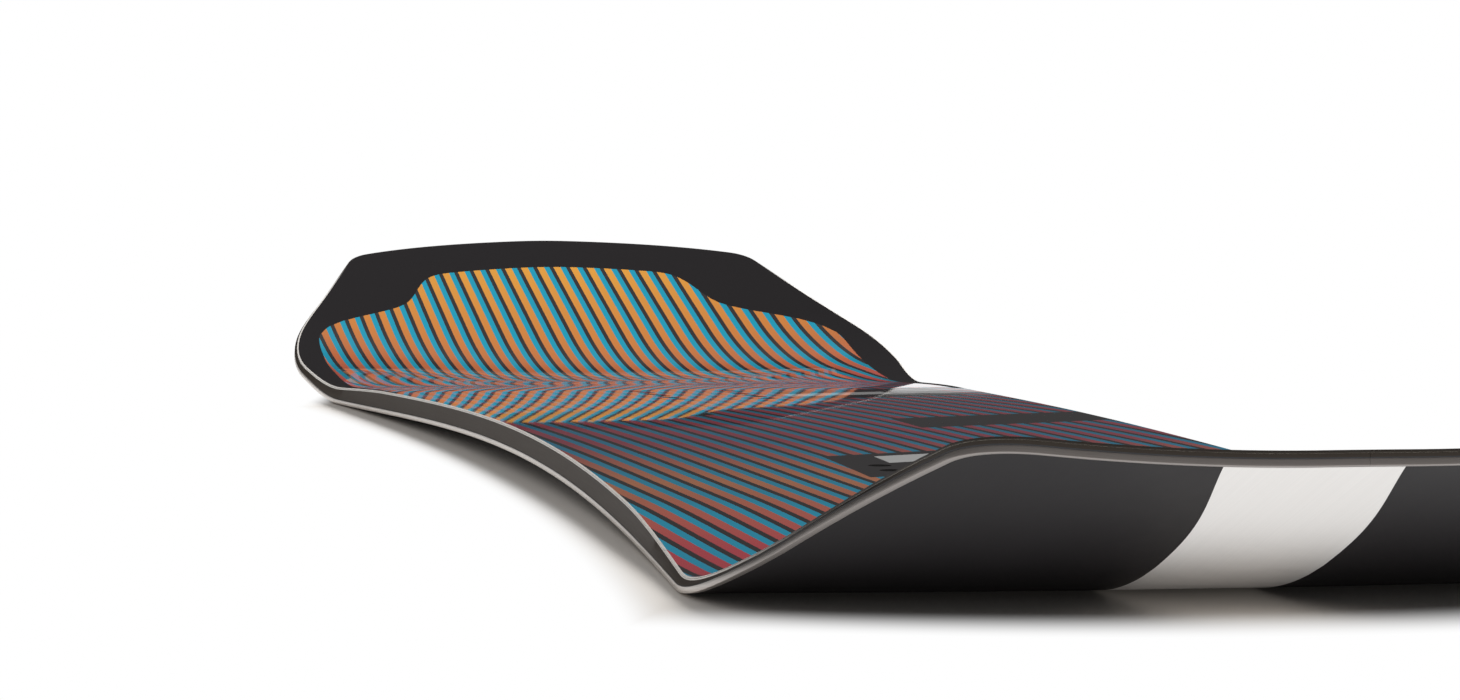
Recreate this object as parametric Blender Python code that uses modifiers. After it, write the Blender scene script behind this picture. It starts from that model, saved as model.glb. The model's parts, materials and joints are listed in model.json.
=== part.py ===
"""Twin-tip snowboard at rest on its base: +X is the tail end, -X the nose end, +Z is up, sizes in metres.

Every layer is a slab bent to the board's side profile and trimmed by an outline prism, as a real board is
pressed in a mould and then cut to shape.
"""

import math

import bmesh
import bpy
from mathutils import Matrix, Vector

# Plan shape
LENGTH = 1.5080
WAIST_WIDTH = 0.2490
TIP_WIDTH = 0.2990
WIDEST_TO_END = 0.2220
NOSE_SHOULDER_RADIUS = 0.2400
NOSE_SHOULDER_ANGLE = math.radians(21.3)
NOSE_CORNER_RADIUS = 0.0315
NOSE_CROWN_OVER_HALF_TIP = 0.0205
TAIL_SHOULDER_RADIUS = 0.2350
TAIL_SHOULDER_ANGLE = math.radians(16.0)
TAIL_CORNER_RADIUS = 0.0280
TAIL_CROWN_OVER_HALF_TIP = 0.4405

# Side profile
CAMBER_HEIGHT = 0.0069
CONTACT_TO_END = 0.2230
REST_LENGTH = 0.0200
NOSE_KICK_RADIUS = 0.2620
NOSE_KICK_ANGLE = math.radians(21.6)
TAIL_KICK_RADIUS = 0.3200
TAIL_KICK_ANGLE = math.radians(17.1)
SPOON_FLAT_HALF = 0.0120
NOSE_SPOON_RADIUS = 0.5830
NOSE_SPOON_TO_END = 0.3050
NOSE_SPOON_LENGTH = 0.1680
TAIL_SPOON_RADIUS = 0.4810
TAIL_SPOON_TO_END = 0.2260
TAIL_SPOON_LENGTH = 0.2550
MIDDLE_THICKNESS = 0.0098
TIP_THICKNESS = 0.0044
TAPER_LENGTH = 0.2800
THIN_END_LENGTH = 0.1440

# Layers, from the base up
BOND = 0.0002
BASE_SHEET = 0.0011
EDGE_BAR_WIDTH = 0.0020
EDGE_FLANGE = 0.00035
EDGE_FLANGE_REACH = 0.0063
GLASS = 0.00035
TOPSHEET = 0.00045
DAMPING_STRIP = 0.00035
EDGE_SET_BACK = 0.0002
SIDEWALL_WIDTH = 0.0080
SEAM = 0.0003

# Wood core
CORE_TO_END = 0.1640
MIDDLE_STRIP_WIDTH = 0.0180
STRIP_WIDTH = 0.0215
STRIPS_A_SIDE = 5

# White band let into the base: a straight strip, placed by its centre line beside the tail contact
BAND_WIDTH = 0.0500
BAND_Y_AT_CONTACT = 0.0012
BAND_SKEW = math.radians(-4.4)

# Threaded inserts for the bindings
STANCE = 0.5300
INSERT_ROW_SPACING = 0.0400
INSERT_PITCH = 0.0200
INSERTS_A_ROW = 6
INSERT_FLANGE_RADIUS = 0.0080
INSERT_FLANGE = 0.0008
INSERT_BARREL_RADIUS = 0.0040
INSERT_BORE_RADIUS = 0.0025
INSERT_FLOOR = 0.0012
INSERT_RECESS = 0.0003
INSERT_CLEARANCE = 0.0003
INSERT_SIDES = 8

# Facets
SIDECUT_SEGMENTS = 7
SHOULDER_SEGMENTS = 5
CORNER_SEGMENTS = 4
CROWN_SEGMENTS = 5
CONTACT_STATIONS = 2
KICK_STATIONS = 4
TIP_STATIONS = 2
LANE_WIDTH = 0.0495
SLAB_MARGIN = 0.0100
CUTTER_LOW = -0.0300
CUTTER_HIGH = 0.1400

# Places along the board, from its middle
TIP_END = LENGTH / 2
WIDEST_AT = TIP_END - WIDEST_TO_END
CONTACT_AT = TIP_END - CONTACT_TO_END
NOSE_SPOON_START = TIP_END - NOSE_SPOON_TO_END
TAIL_SPOON_START = TIP_END - TAIL_SPOON_TO_END
TAPER_END = TIP_END - THIN_END_LENGTH
TAPER_START = TAPER_END - TAPER_LENGTH
CORE_END = TIP_END - CORE_TO_END

# A tip's crown is flatter than a half circle over its width
NOSE_CROWN_RADIUS = TIP_WIDTH / 2 + NOSE_CROWN_OVER_HALF_TIP
TAIL_CROWN_RADIUS = TIP_WIDTH / 2 + TAIL_CROWN_OVER_HALF_TIP

# The base lies flat on the floor from where its camber ends to where its tip starts to kick up
CAMBER_END = CONTACT_AT - REST_LENGTH / 2
KICK_START = CONTACT_AT + REST_LENGTH / 2
TIP_FACETS_START = min(NOSE_SPOON_START, TAIL_SPOON_START)


class Tip:
    """One end of the board, measured outward from the waist."""

    def __init__(self, sign, shoulder, shoulder_angle, corner, crown, kick, kick_angle, spoon):
        self.sign = sign
        self.shoulder = shoulder
        self.shoulder_angle = shoulder_angle
        self.corner = corner
        self.crown = crown
        self.kick = kick
        self.kick_angle = kick_angle
        self.spoon_radius, self.spoon_start, self.spoon_length = spoon

    def rise(self, out):
        """Height of the base's centre line above the floor, outside the flat that it rests on."""
        beyond = max(out - KICK_START, 0.0)
        arc_length = self.kick * math.sin(self.kick_angle)
        on_arc = min(beyond, arc_length)
        arc = self.kick - math.sqrt(self.kick**2 - on_arc**2)
        return arc + max(beyond - arc_length, 0.0) * math.tan(self.kick_angle)

    def spoon(self, out, y):
        """Extra lift of the base towards the edges, which starts just inside the contact point."""
        ramp = smooth((out - self.spoon_start) / self.spoon_length)
        side = max(abs(y) - SPOON_FLAT_HALF, 0.0)
        return ramp * side**2 / (2 * self.spoon_radius)

    def outline(self, inset):
        """Half outline from the waist to the crown's middle, as (out, half width) pairs."""
        half_waist = WAIST_WIDTH / 2
        half_tip = TIP_WIDTH / 2
        deep = half_tip - half_waist
        sidecut = (WIDEST_AT**2 + deep**2) / (2 * deep)
        flare = math.asin(WIDEST_AT / sidecut)
        sidecut_centre = Vector((0.0, half_waist + sidecut))
        points = []
        for step in range(SIDECUT_SEGMENTS):
            angle = flare * step / SIDECUT_SEGMENTS
            radius = sidecut + inset
            points.append(sidecut_centre + radius * Vector((math.sin(angle), -math.cos(angle))))

        shoulder_centre = Vector((WIDEST_AT, half_tip)) - self.shoulder * direction(-flare)
        points += arc(shoulder_centre, self.shoulder - inset, -flare, self.shoulder_angle, SHOULDER_SEGMENTS)

        crown_centre = Vector((TIP_END - self.crown, 0.0))
        along = Vector((math.cos(self.shoulder_angle), -math.sin(self.shoulder_angle)))
        first_corner = shoulder_centre + (self.shoulder - self.corner) * direction(self.shoulder_angle)
        apart = first_corner - crown_centre
        half_b = apart.dot(along)
        rest = apart.length_squared - (self.crown - self.corner) ** 2
        straight = -half_b + math.sqrt(half_b**2 - rest)
        corner_centre = first_corner + straight * along
        to_corner = corner_centre - crown_centre
        corner_end = math.atan2(to_corner.x, to_corner.y)
        points += arc(corner_centre, self.corner - inset, self.shoulder_angle, corner_end, CORNER_SEGMENTS)
        points += arc(crown_centre, self.crown - inset, corner_end, math.pi / 2, CROWN_SEGMENTS)[1:]
        return points

    def stations(self):
        """Where the slabs have a crosswise fold, outward from where the tip's facets start."""
        kick_end = KICK_START + self.kick * math.sin(self.kick_angle)
        last = TIP_END + SLAB_MARGIN
        places = spread(TIP_FACETS_START, CAMBER_END, CONTACT_STATIONS)
        places += spread(KICK_START, kick_end, KICK_STATIONS)
        return places + spread(kick_end, last, TIP_STATIONS)[1:]


def smooth(share):
    share = min(max(share, 0.0), 1.0)
    return share * share * (3 - 2 * share)


def direction(angle):
    """Unit vector in the plan view, measured from +Y towards the tip."""
    return Vector((math.sin(angle), math.cos(angle)))


def arc(centre, radius, start, end, segments):
    return [centre + radius * direction(start + (end - start) * i / segments) for i in range(segments + 1)]


def spread(first, last, steps):
    return [first + (last - first) * i / steps for i in range(steps + 1)]


NOSE = Tip(
    -1, NOSE_SHOULDER_RADIUS, NOSE_SHOULDER_ANGLE, NOSE_CORNER_RADIUS, NOSE_CROWN_RADIUS,
    NOSE_KICK_RADIUS, NOSE_KICK_ANGLE, (NOSE_SPOON_RADIUS, NOSE_SPOON_START, NOSE_SPOON_LENGTH),
)
TAIL = Tip(
    1, TAIL_SHOULDER_RADIUS, TAIL_SHOULDER_ANGLE, TAIL_CORNER_RADIUS, TAIL_CROWN_RADIUS,
    TAIL_KICK_RADIUS, TAIL_KICK_ANGLE, (TAIL_SPOON_RADIUS, TAIL_SPOON_START, TAIL_SPOON_LENGTH),
)


def base_height(x, y):
    tip = TAIL if x > 0 else NOSE
    out = abs(x)
    camber = CAMBER_HEIGHT * max(1 - (out / CAMBER_END) ** 2, 0.0) ** 2
    return camber + tip.rise(out) + tip.spoon(out, y)


def thickness(x):
    share = smooth((abs(x) - TAPER_START) / (TAPER_END - TAPER_START))
    return MIDDLE_THICKNESS + (TIP_THICKNESS - MIDDLE_THICKNESS) * share


def above_base(rise):
    """A surface that runs at one height over the base's underside."""
    return lambda x, y: base_height(x, y) + rise


def below_top(drop):
    """A surface that runs at one depth under the top of the board."""
    return lambda x, y: base_height(x, y) + thickness(x) - drop


# Heights over the base's underside, and depths under the top
FLANGE_BOTTOM = BASE_SHEET + BOND
EDGE_TOP = FLANGE_BOTTOM + EDGE_FLANGE
LOW_GLASS_BOTTOM = BASE_SHEET + BOND
LOW_GLASS_TOP = LOW_GLASS_BOTTOM + GLASS
STRIP_BOTTOM = max(EDGE_TOP, LOW_GLASS_TOP) + BOND
STRIP_TOP = STRIP_BOTTOM + DAMPING_STRIP
CORE_BOTTOM = LOW_GLASS_TOP + BOND
SIDEWALL_BOTTOM = STRIP_TOP + BOND
UPPER_GLASS_TOP = TOPSHEET + BOND
UPPER_GLASS_BOTTOM = UPPER_GLASS_TOP + GLASS
CORE_TOP = UPPER_GLASS_BOTTOM + BOND

# Insets from the outline
BASE_INSET = EDGE_BAR_WIDTH + BOND
LOW_GLASS_INSET = EDGE_FLANGE_REACH + SEAM
SIDEWALL_INNER = EDGE_SET_BACK + SIDEWALL_WIDTH
CORE_INSET = SIDEWALL_INNER + SEAM


def lengthwise_stations():
    """Folds shared by every slab, so that neighbouring layers have the same facets."""
    binding = STANCE / 2
    zone = (INSERTS_A_ROW / 2) * INSERT_PITCH
    half = [binding / 8, (binding / 8 + binding - zone) / 2, binding - zone, binding + zone]
    half.append((binding + zone + TIP_FACETS_START) / 2)
    nose = [-place for place in reversed(half + NOSE.stations())]
    return nose + half + TAIL.stations()


def lanes():
    count = math.ceil((TIP_WIDTH / 2 + SLAB_MARGIN - SPOON_FLAT_HALF) / LANE_WIDTH)
    half = [SPOON_FLAT_HALF + LANE_WIDTH * lane for lane in range(count + 1)]
    return [-y for y in reversed(half)] + half


def clear_scene():
    for obj in list(bpy.data.objects):
        bpy.data.objects.remove(obj, do_unlink=True)
    for collection in list(bpy.data.collections):
        bpy.data.collections.remove(collection)


def new_collection(name):
    collection = bpy.data.collections.new(name)
    bpy.context.scene.collection.children.link(collection)
    return collection


def new_object(name, bm, collection, material=None):
    bmesh.ops.recalc_face_normals(bm, faces=bm.faces)
    mesh = bpy.data.meshes.new(name)
    bm.to_mesh(mesh)
    bm.free()
    obj = bpy.data.objects.new(name, mesh)
    collection.objects.link(obj)
    if material:
        mesh.materials.append(material)
    else:
        obj.hide_render = True
        obj.display_type = "WIRE"
    return obj


def new_material(name, colour, roughness, metallic=0.0):
    material = bpy.data.materials.new(name)
    material.use_nodes = True
    shader = material.node_tree.nodes["Principled BSDF"]
    shader.inputs["Base Color"].default_value = (*colour, 1.0)
    shader.inputs["Roughness"].default_value = roughness
    shader.inputs["Metallic"].default_value = metallic
    material.diffuse_color = (*colour, 1.0)
    return material


def boolean(obj, operation, cutter):
    modifier = obj.modifiers.new(f"{operation.lower()} {cutter.name}", "BOOLEAN")
    modifier.operation = operation
    modifier.solver = "EXACT"
    modifier.object = cutter
    return obj


def slab(name, bottom, top, collection, material=None):
    """A sheet bent to the board's profile: one facet across between the tips, triangles in the tips."""
    rows = lengthwise_stations()
    columns = lanes()
    bm = bmesh.new()
    layers = []
    for surface in (bottom, top):
        layers.append([[bm.verts.new((x, y, surface(x, y))) for y in columns] for x in rows])
    for layer in layers:
        for i, x in enumerate(rows[:-1]):
            if abs(x + rows[i + 1]) / 2 < TIP_FACETS_START:
                bm.faces.new(layer[i] + layer[i + 1][::-1])
                continue
            for j in range(len(columns) - 1):
                near = layer[i][j], layer[i + 1][j]
                far = layer[i + 1][j + 1], layer[i][j + 1]
                diagonal = (columns[j] + columns[j + 1] > 0) == (x > 0)
                corners = (near[0], near[1], far[0], far[1])
                first, second, third, fourth = corners if diagonal else corners[1:] + corners[:1]
                bm.faces.new((first, second, third))
                bm.faces.new((first, third, fourth))
    lower, upper = layers
    for i in range(len(rows) - 1):
        for j in (0, -1):
            bm.faces.new((lower[i][j], lower[i + 1][j], upper[i + 1][j], upper[i][j]))
    for i in (0, -1):
        bm.faces.new(lower[i] + upper[i][::-1])
    return new_object(name, bm, collection, material)


def extruded(name, bm, collection):
    region = bmesh.ops.extrude_face_region(bm, geom=bm.faces[:])
    moved = [item for item in region["geom"] if isinstance(item, bmesh.types.BMVert)]
    bmesh.ops.translate(bm, verts=moved, vec=(0, 0, CUTTER_HIGH - CUTTER_LOW))
    return new_object(name, bm, collection)


def outline_prism(name, inset, collection):
    """Everything inside the board's outline, drawn in by the inset."""
    tail = [(p.x, p.y) for p in TAIL.outline(inset)]
    nose = [(-p.x, p.y) for p in NOSE.outline(inset)]
    half = tail[::-1] + nose[1:]
    loop = half + [(x, -y) for x, y in half[-2:0:-1]]
    bm = bmesh.new()
    bm.faces.new([bm.verts.new((x, y, CUTTER_LOW)) for x, y in loop])
    return extruded(name, bm, collection)


def rim_prism(name, side, outer, inner, collection):
    """The band between two insets on one side of the board, which stops short of the middle of each tip."""
    bm = bmesh.new()
    rails = []
    for inset in (outer, inner):
        rail = []
        for tip in (TAIL, NOSE):
            half = tip.outline(inset)
            centre = TIP_END - tip.crown
            half[-1] = Vector((centre + math.sqrt((tip.crown - inset) ** 2 - (SEAM / 2) ** 2), SEAM / 2))
            places = [(tip.sign * p.x, side * p.y) for p in half]
            rail += places[::-1] if tip is TAIL else places[1:]
        rails.append([bm.verts.new((x, y, CUTTER_LOW)) for x, y in rail])
    outside, inside = rails
    for i in range(len(outside) - 1):
        bm.faces.new((outside[i], outside[i + 1], inside[i + 1], inside[i]))
    return extruded(name, bm, collection)


def box_prism(name, x_range, y_range, collection):
    bm = bmesh.new()
    corners = [(x_range[i], y_range[j]) for i, j in ((0, 0), (1, 0), (1, 1), (0, 1))]
    bm.faces.new([bm.verts.new((x, y, CUTTER_LOW)) for x, y in corners])
    return extruded(name, bm, collection)


def band_prism(name, low, high, collection):
    """A long strip beside the white band's centre line, from one offset to another."""
    bm = bmesh.new()
    along = Vector((math.cos(BAND_SKEW), math.sin(BAND_SKEW)))
    across = Vector((-along.y, along.x))
    anchor = Vector((CONTACT_AT, BAND_Y_AT_CONTACT))
    corners = [(-2 * LENGTH, low), (2 * LENGTH, low), (2 * LENGTH, high), (-2 * LENGTH, high)]
    places = [anchor + u * along + v * across for u, v in corners]
    bm.faces.new([bm.verts.new((p.x, p.y, CUTTER_LOW)) for p in places])
    return extruded(name, bm, collection)


def insert_places():
    """Each insert's node name and centre in the plan view."""
    places = []
    for foot, centre in (("nose", -STANCE / 2), ("tail", STANCE / 2)):
        for side, y in (("left", -INSERT_ROW_SPACING / 2), ("right", INSERT_ROW_SPACING / 2)):
            for column in range(INSERTS_A_ROW):
                x = centre + (column - (INSERTS_A_ROW - 1) / 2) * INSERT_PITCH
                places.append((f"insert_{foot}_{side}_{column + 1}", x, y))
    return places


def facet_frame(x, y, rise):
    """Position and tilt of a point at one height over the base, on the facet that holds it."""
    rows = lengthwise_stations()
    after = next(i for i, row in enumerate(rows) if row > x)
    start, end = rows[after - 1], rows[after]
    low, high = base_height(start, y), base_height(end, y)
    slope = (high - low) / (end - start)
    height = low + slope * (x - start)
    tilt = Matrix.Rotation(-math.atan(slope), 4, "Y")
    return Matrix.Translation((x, y, height + rise)) @ tilt


def insert_cylinders(name, radius, bottom, top, collection):
    """One straight cutter for each insert, between two heights over the base, its corners over the insert's."""
    first_corner_on_x = Matrix.Rotation(-math.pi / 2, 4, "Z")
    bm = bmesh.new()
    for _, x, y in insert_places():
        middle = facet_frame(x, y, (bottom + top) / 2) @ first_corner_on_x
        bmesh.ops.create_cone(
            bm, cap_ends=True, segments=INSERT_SIDES, radius1=radius, radius2=radius,
            depth=top - bottom, matrix=middle,
        )
    return new_object(name, bm, collection)


def turned_insert():
    """A blind threaded barrel on a round flange, turned from its profile."""
    height = MIDDLE_THICKNESS - CORE_BOTTOM - INSERT_RECESS
    profile = [
        (0.0, 0.0), (INSERT_FLANGE_RADIUS, 0.0), (INSERT_FLANGE_RADIUS, INSERT_FLANGE),
        (INSERT_BARREL_RADIUS, INSERT_FLANGE), (INSERT_BARREL_RADIUS, height),
        (INSERT_BORE_RADIUS, height), (INSERT_BORE_RADIUS, INSERT_FLOOR), (0.0, INSERT_FLOOR),
    ]
    mesh = bpy.data.meshes.new("insert profile")
    mesh.from_pydata([(r, 0.0, z) for r, z in profile], [(i, i + 1) for i in range(len(profile) - 1)], [])
    turned = bpy.data.objects.new("insert profile", mesh)
    bpy.context.scene.collection.objects.link(turned)
    screw = turned.modifiers.new("turn", "SCREW")
    screw.axis = "Z"
    screw.steps = INSERT_SIDES
    screw.render_steps = INSERT_SIDES
    screw.use_merge_vertices = True
    screw.merge_threshold = 0.00001
    graph = bpy.context.evaluated_depsgraph_get()
    made = bpy.data.meshes.new_from_object(turned.evaluated_get(graph))
    bpy.data.objects.remove(turned, do_unlink=True)
    bm = bmesh.new()
    bm.from_mesh(made)
    bmesh.ops.recalc_face_normals(bm, faces=bm.faces)
    bm.to_mesh(made)
    bm.free()
    made.name = "threaded insert"
    return made


def add_base_sheets(parts, cutters):
    """Three sintered base pieces, butted along the two sides of the white band."""
    trim = outline_prism("cut_base_outline", BASE_INSET, cutters)
    black = new_material("base_black", (0.012, 0.012, 0.013), 0.28)
    white = new_material("base_white", (0.74, 0.72, 0.69), 0.35)
    half = BAND_WIDTH / 2
    beyond = TIP_WIDTH
    pieces = (
        ("base_sheet_left", black, -beyond - half, -half - SEAM),
        ("base_white_band", white, -half, half),
        ("base_sheet_right", black, half + SEAM, half + beyond),
    )
    for name, material, low, high in pieces:
        piece = slab(name, above_base(0.0), above_base(BASE_SHEET), parts, material)
        boolean(piece, "INTERSECT", trim)
        boolean(piece, "INTERSECT", band_prism(f"cut_{name}", low, high, cutters))


def add_steel_edges(parts, cutters):
    """Full-wrap edges: a square bar outside, and a thin flange that is laminated in over the base."""
    steel = new_material("edge_steel", (0.56, 0.54, 0.52), 0.32, 1.0)
    for label, side in (("left", -1), ("right", 1)):
        edge = slab(f"steel_edge_{label}", above_base(0.0), above_base(EDGE_TOP), parts, steel)
        boolean(edge, "INTERSECT", rim_prism(f"cut_edge_{label}", side, 0.0, EDGE_FLANGE_REACH, cutters))
        under = slab(f"cut_under_flange_{label}", above_base(-BASE_SHEET), above_base(FLANGE_BOTTOM), cutters)
        rebate = rim_prism(f"cut_rebate_{label}", side, EDGE_BAR_WIDTH, SIDEWALL_WIDTH, cutters)
        boolean(edge, "DIFFERENCE", boolean(under, "INTERSECT", rebate))


def add_lower_glass(parts, cutters):
    """Lower fibreglass, laid on the base between the edge flanges."""
    glass = new_material("fibreglass_lower", (0.60, 0.62, 0.50), 0.45)
    sheet = slab("lower_fibreglass", above_base(LOW_GLASS_BOTTOM), above_base(LOW_GLASS_TOP), parts, glass)
    boolean(sheet, "INTERSECT", outline_prism("cut_lower_glass", LOW_GLASS_INSET, cutters))


def add_damping_strips(parts, cutters):
    """Rubber strips that cover each edge flange and lap onto the lower fibreglass, under the sidewall."""
    rubber = new_material("damping_rubber", (0.030, 0.030, 0.032), 0.8)
    for label, side in (("left", -1), ("right", 1)):
        strip = slab(f"damping_strip_{label}", above_base(STRIP_BOTTOM), above_base(STRIP_TOP), parts, rubber)
        rim = rim_prism(f"cut_damping_{label}", side, EDGE_SET_BACK, SIDEWALL_INNER, cutters)
        boolean(strip, "INTERSECT", rim)


def add_core(parts, cutters, barrels, pockets):
    """Vertically laminated wood core: straight strips side by side, the outer ones cut to the sidecut."""
    woods = (
        new_material("core_beech", (0.55, 0.36, 0.20), 0.6),
        new_material("core_poplar", (0.70, 0.55, 0.36), 0.65),
        new_material("core_paulownia", (0.78, 0.66, 0.47), 0.7),
    )
    trim = outline_prism("cut_core_outline", CORE_INSET, cutters)
    for number in range(-STRIPS_A_SIDE, STRIPS_A_SIDE + 1):
        inner = MIDDLE_STRIP_WIDTH / 2 + (abs(number) - 1) * STRIP_WIDTH + SEAM / 2
        outer = MIDDLE_STRIP_WIDTH / 2 + abs(number) * STRIP_WIDTH - SEAM / 2
        if number == 0:
            low, high = -outer, outer
            name = "core_strip_middle"
        else:
            if abs(number) == STRIPS_A_SIDE:
                outer = TIP_WIDTH / 2
            low, high = sorted((math.copysign(inner, number), math.copysign(outer, number)))
            name = f"core_strip_{'left' if number < 0 else 'right'}_{abs(number)}"
        wood = woods[abs(number) % len(woods)]
        strip = slab(name, above_base(CORE_BOTTOM), below_top(CORE_TOP), parts, wood)
        boolean(strip, "INTERSECT", box_prism(f"cut_{name}", (-CORE_END, CORE_END), (low, high), cutters))
        if abs(number) == STRIPS_A_SIDE:
            boolean(strip, "INTERSECT", trim)
        if low < INSERT_ROW_SPACING / 2 < high or low < -INSERT_ROW_SPACING / 2 < high:
            boolean(strip, "DIFFERENCE", barrels)
            boolean(strip, "DIFFERENCE", pockets)


def add_tip_spacers(parts, cutters):
    """Thin plastic fillers that carry on from the core's ends to the sidewall."""
    plastic = new_material("tip_spacer_abs", (0.045, 0.045, 0.048), 0.5)
    trim = outline_prism("cut_spacer_outline", CORE_INSET, cutters)
    for tip, label in ((NOSE, "nose"), (TAIL, "tail")):
        spacer = slab(f"tip_spacer_{label}", above_base(CORE_BOTTOM), below_top(CORE_TOP), parts, plastic)
        boolean(spacer, "INTERSECT", trim)
        ends = sorted((tip.sign * (CORE_END + SEAM), tip.sign * (TIP_END + SLAB_MARGIN)))
        boolean(spacer, "INTERSECT", box_prism(f"cut_spacer_{label}", ends, (-TIP_WIDTH, TIP_WIDTH), cutters))


def add_sidewalls(parts, cutters):
    """Wrap-around sidewalls in two halves, butted at the middle of the nose and of the tail."""
    abs_plastic = new_material("sidewall_abs", (0.085, 0.072, 0.062), 0.5)
    for label, side in (("left", -1), ("right", 1)):
        wall = slab(f"sidewall_{label}", above_base(SIDEWALL_BOTTOM), below_top(CORE_TOP), parts, abs_plastic)
        rim = rim_prism(f"cut_sidewall_{label}", side, EDGE_SET_BACK, SIDEWALL_INNER, cutters)
        boolean(wall, "INTERSECT", rim)


def add_top_layers(parts, cutters, barrels):
    """Upper fibreglass and the printed topsheet, both drilled for the inserts."""
    trim = outline_prism("cut_top_outline", EDGE_SET_BACK, cutters)
    glass = new_material("fibreglass_upper", (0.60, 0.62, 0.50), 0.45)
    print_film = new_material("topsheet_print", (0.16, 0.12, 0.13), 0.12)
    layers = (
        ("upper_fibreglass", UPPER_GLASS_BOTTOM, UPPER_GLASS_TOP, glass),
        ("topsheet", TOPSHEET, 0.0, print_film),
    )
    for name, bottom, top, material in layers:
        sheet = slab(name, below_top(bottom), below_top(top), parts, material)
        boolean(sheet, "INTERSECT", trim)
        boolean(sheet, "DIFFERENCE", barrels)


def add_inserts(parts):
    steel = new_material("insert_stainless", (0.62, 0.61, 0.60), 0.3, 1.0)
    mesh = turned_insert()
    mesh.materials.append(steel)
    for name, x, y in insert_places():
        insert = bpy.data.objects.new(name, mesh)
        insert.matrix_world = facet_frame(x, y, CORE_BOTTOM)
        parts.objects.link(insert)


def main():
    clear_scene()
    parts = new_collection("snowboard")
    cutters = new_collection("cutters")
    hole = INSERT_BARREL_RADIUS + INSERT_CLEARANCE
    pocket = INSERT_FLANGE_RADIUS + INSERT_CLEARANCE
    pocket_top = CORE_BOTTOM + INSERT_FLANGE + BOND
    barrels = insert_cylinders("cut_barrel_holes", hole, 0.0, 2 * MIDDLE_THICKNESS, cutters)
    pockets = insert_cylinders("cut_flange_pockets", pocket, 0.0, pocket_top, cutters)
    add_base_sheets(parts, cutters)
    add_steel_edges(parts, cutters)
    add_lower_glass(parts, cutters)
    add_damping_strips(parts, cutters)
    add_core(parts, cutters, barrels, pockets)
    add_tip_spacers(parts, cutters)
    add_sidewalls(parts, cutters)
    add_top_layers(parts, cutters, barrels)
    add_inserts(parts)


if __name__ == "__main__":
    main()
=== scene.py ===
"""Snowboard add-on: builds the dressed pieces of a twin-tip board round its packed frame, and its studio.

+X is the tail end, -X the nose end and +Z is up, in metres, as in the frame.
"""

import json
import math

import bmesh
import bpy
import numpy as np
from bpy.props import FloatProperty, FloatVectorProperty, IntProperty, PointerProperty
from mathutils import Matrix, Vector


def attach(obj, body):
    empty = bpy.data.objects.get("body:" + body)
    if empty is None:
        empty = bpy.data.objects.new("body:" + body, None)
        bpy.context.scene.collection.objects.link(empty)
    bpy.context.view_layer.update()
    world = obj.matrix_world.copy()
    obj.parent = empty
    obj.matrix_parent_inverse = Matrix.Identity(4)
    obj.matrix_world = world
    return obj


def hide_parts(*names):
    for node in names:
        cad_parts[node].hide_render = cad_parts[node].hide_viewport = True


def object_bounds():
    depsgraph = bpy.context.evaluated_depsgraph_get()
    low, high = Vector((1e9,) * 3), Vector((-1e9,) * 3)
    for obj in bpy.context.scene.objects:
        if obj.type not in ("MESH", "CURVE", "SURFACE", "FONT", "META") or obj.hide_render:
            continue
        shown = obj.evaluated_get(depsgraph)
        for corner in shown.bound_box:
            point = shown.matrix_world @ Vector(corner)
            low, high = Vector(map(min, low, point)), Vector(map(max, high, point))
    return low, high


bl_info = {
    "name": "Snowboard",
    "version": (1, 0, 0),
    "blender": (4, 5, 0),
    "location": "View3D > Sidebar > Snowboard",
    "description": "Builds a printed twin-tip snowboard layer by layer, with its studio",
    "category": "Object",
}

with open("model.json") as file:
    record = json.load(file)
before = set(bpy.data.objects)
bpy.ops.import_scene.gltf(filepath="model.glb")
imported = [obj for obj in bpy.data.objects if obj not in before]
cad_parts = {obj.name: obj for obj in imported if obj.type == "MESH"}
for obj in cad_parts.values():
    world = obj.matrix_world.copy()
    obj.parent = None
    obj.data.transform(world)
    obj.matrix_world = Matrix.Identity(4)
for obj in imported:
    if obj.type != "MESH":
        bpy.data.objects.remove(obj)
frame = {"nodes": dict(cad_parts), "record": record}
cad_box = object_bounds()

# Steps of the smooth surfaces
SIDECUT_STEPS = 44
SHOULDER_STEPS = 18
STRAIGHT_STEPS = 8
CORNER_STEPS = 14
CROWN_STEPS = 18
CROSS_STEPS = 30
BOW_STEPS = 33
HOLE_STEPS = 32
INSERT_STEPS = 24
# Small distances and limits of the modelling
SLOPE_STEP = 0.0005
HALF_JOINT = 0.00005
WELD = 0.000002
CUTTER_DEPTH = 0.2
SHARP_ANGLE = math.radians(30)
ARRIS_ANGLE = math.radians(24)
FLAT_FACE = 0.97
# Name of each side and its direction along Y
SIDES = (("left", -1), ("right", 1))
# How the printed panel widens: place along the print against share of the shoulders' width
PANEL_SIDE = (
    (0.0, 0.43), (0.0092, 0.473), (0.0191, 0.52), (0.0371, 0.595), (0.0459, 0.677), (0.0562, 0.803),
    (0.0665, 0.907), (0.0768, 0.964), (0.0886, 0.993), (0.1106, 1.0), (1.0, 1.0),
)
# Stripe colours: place along the print, colour
WARM_STRIPES = (
    (0.0, "amber"), (0.09, "orange"), (0.2, "crimson"),
    (0.6, "mulberry"), (0.73, "tangerine"), (0.88, "crimson"),
)
COOL_STRIPES = ((0.0, "cyan"), (0.2, "cyan"), (0.58, "slate"), (0.8, "steel_blue"))
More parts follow.
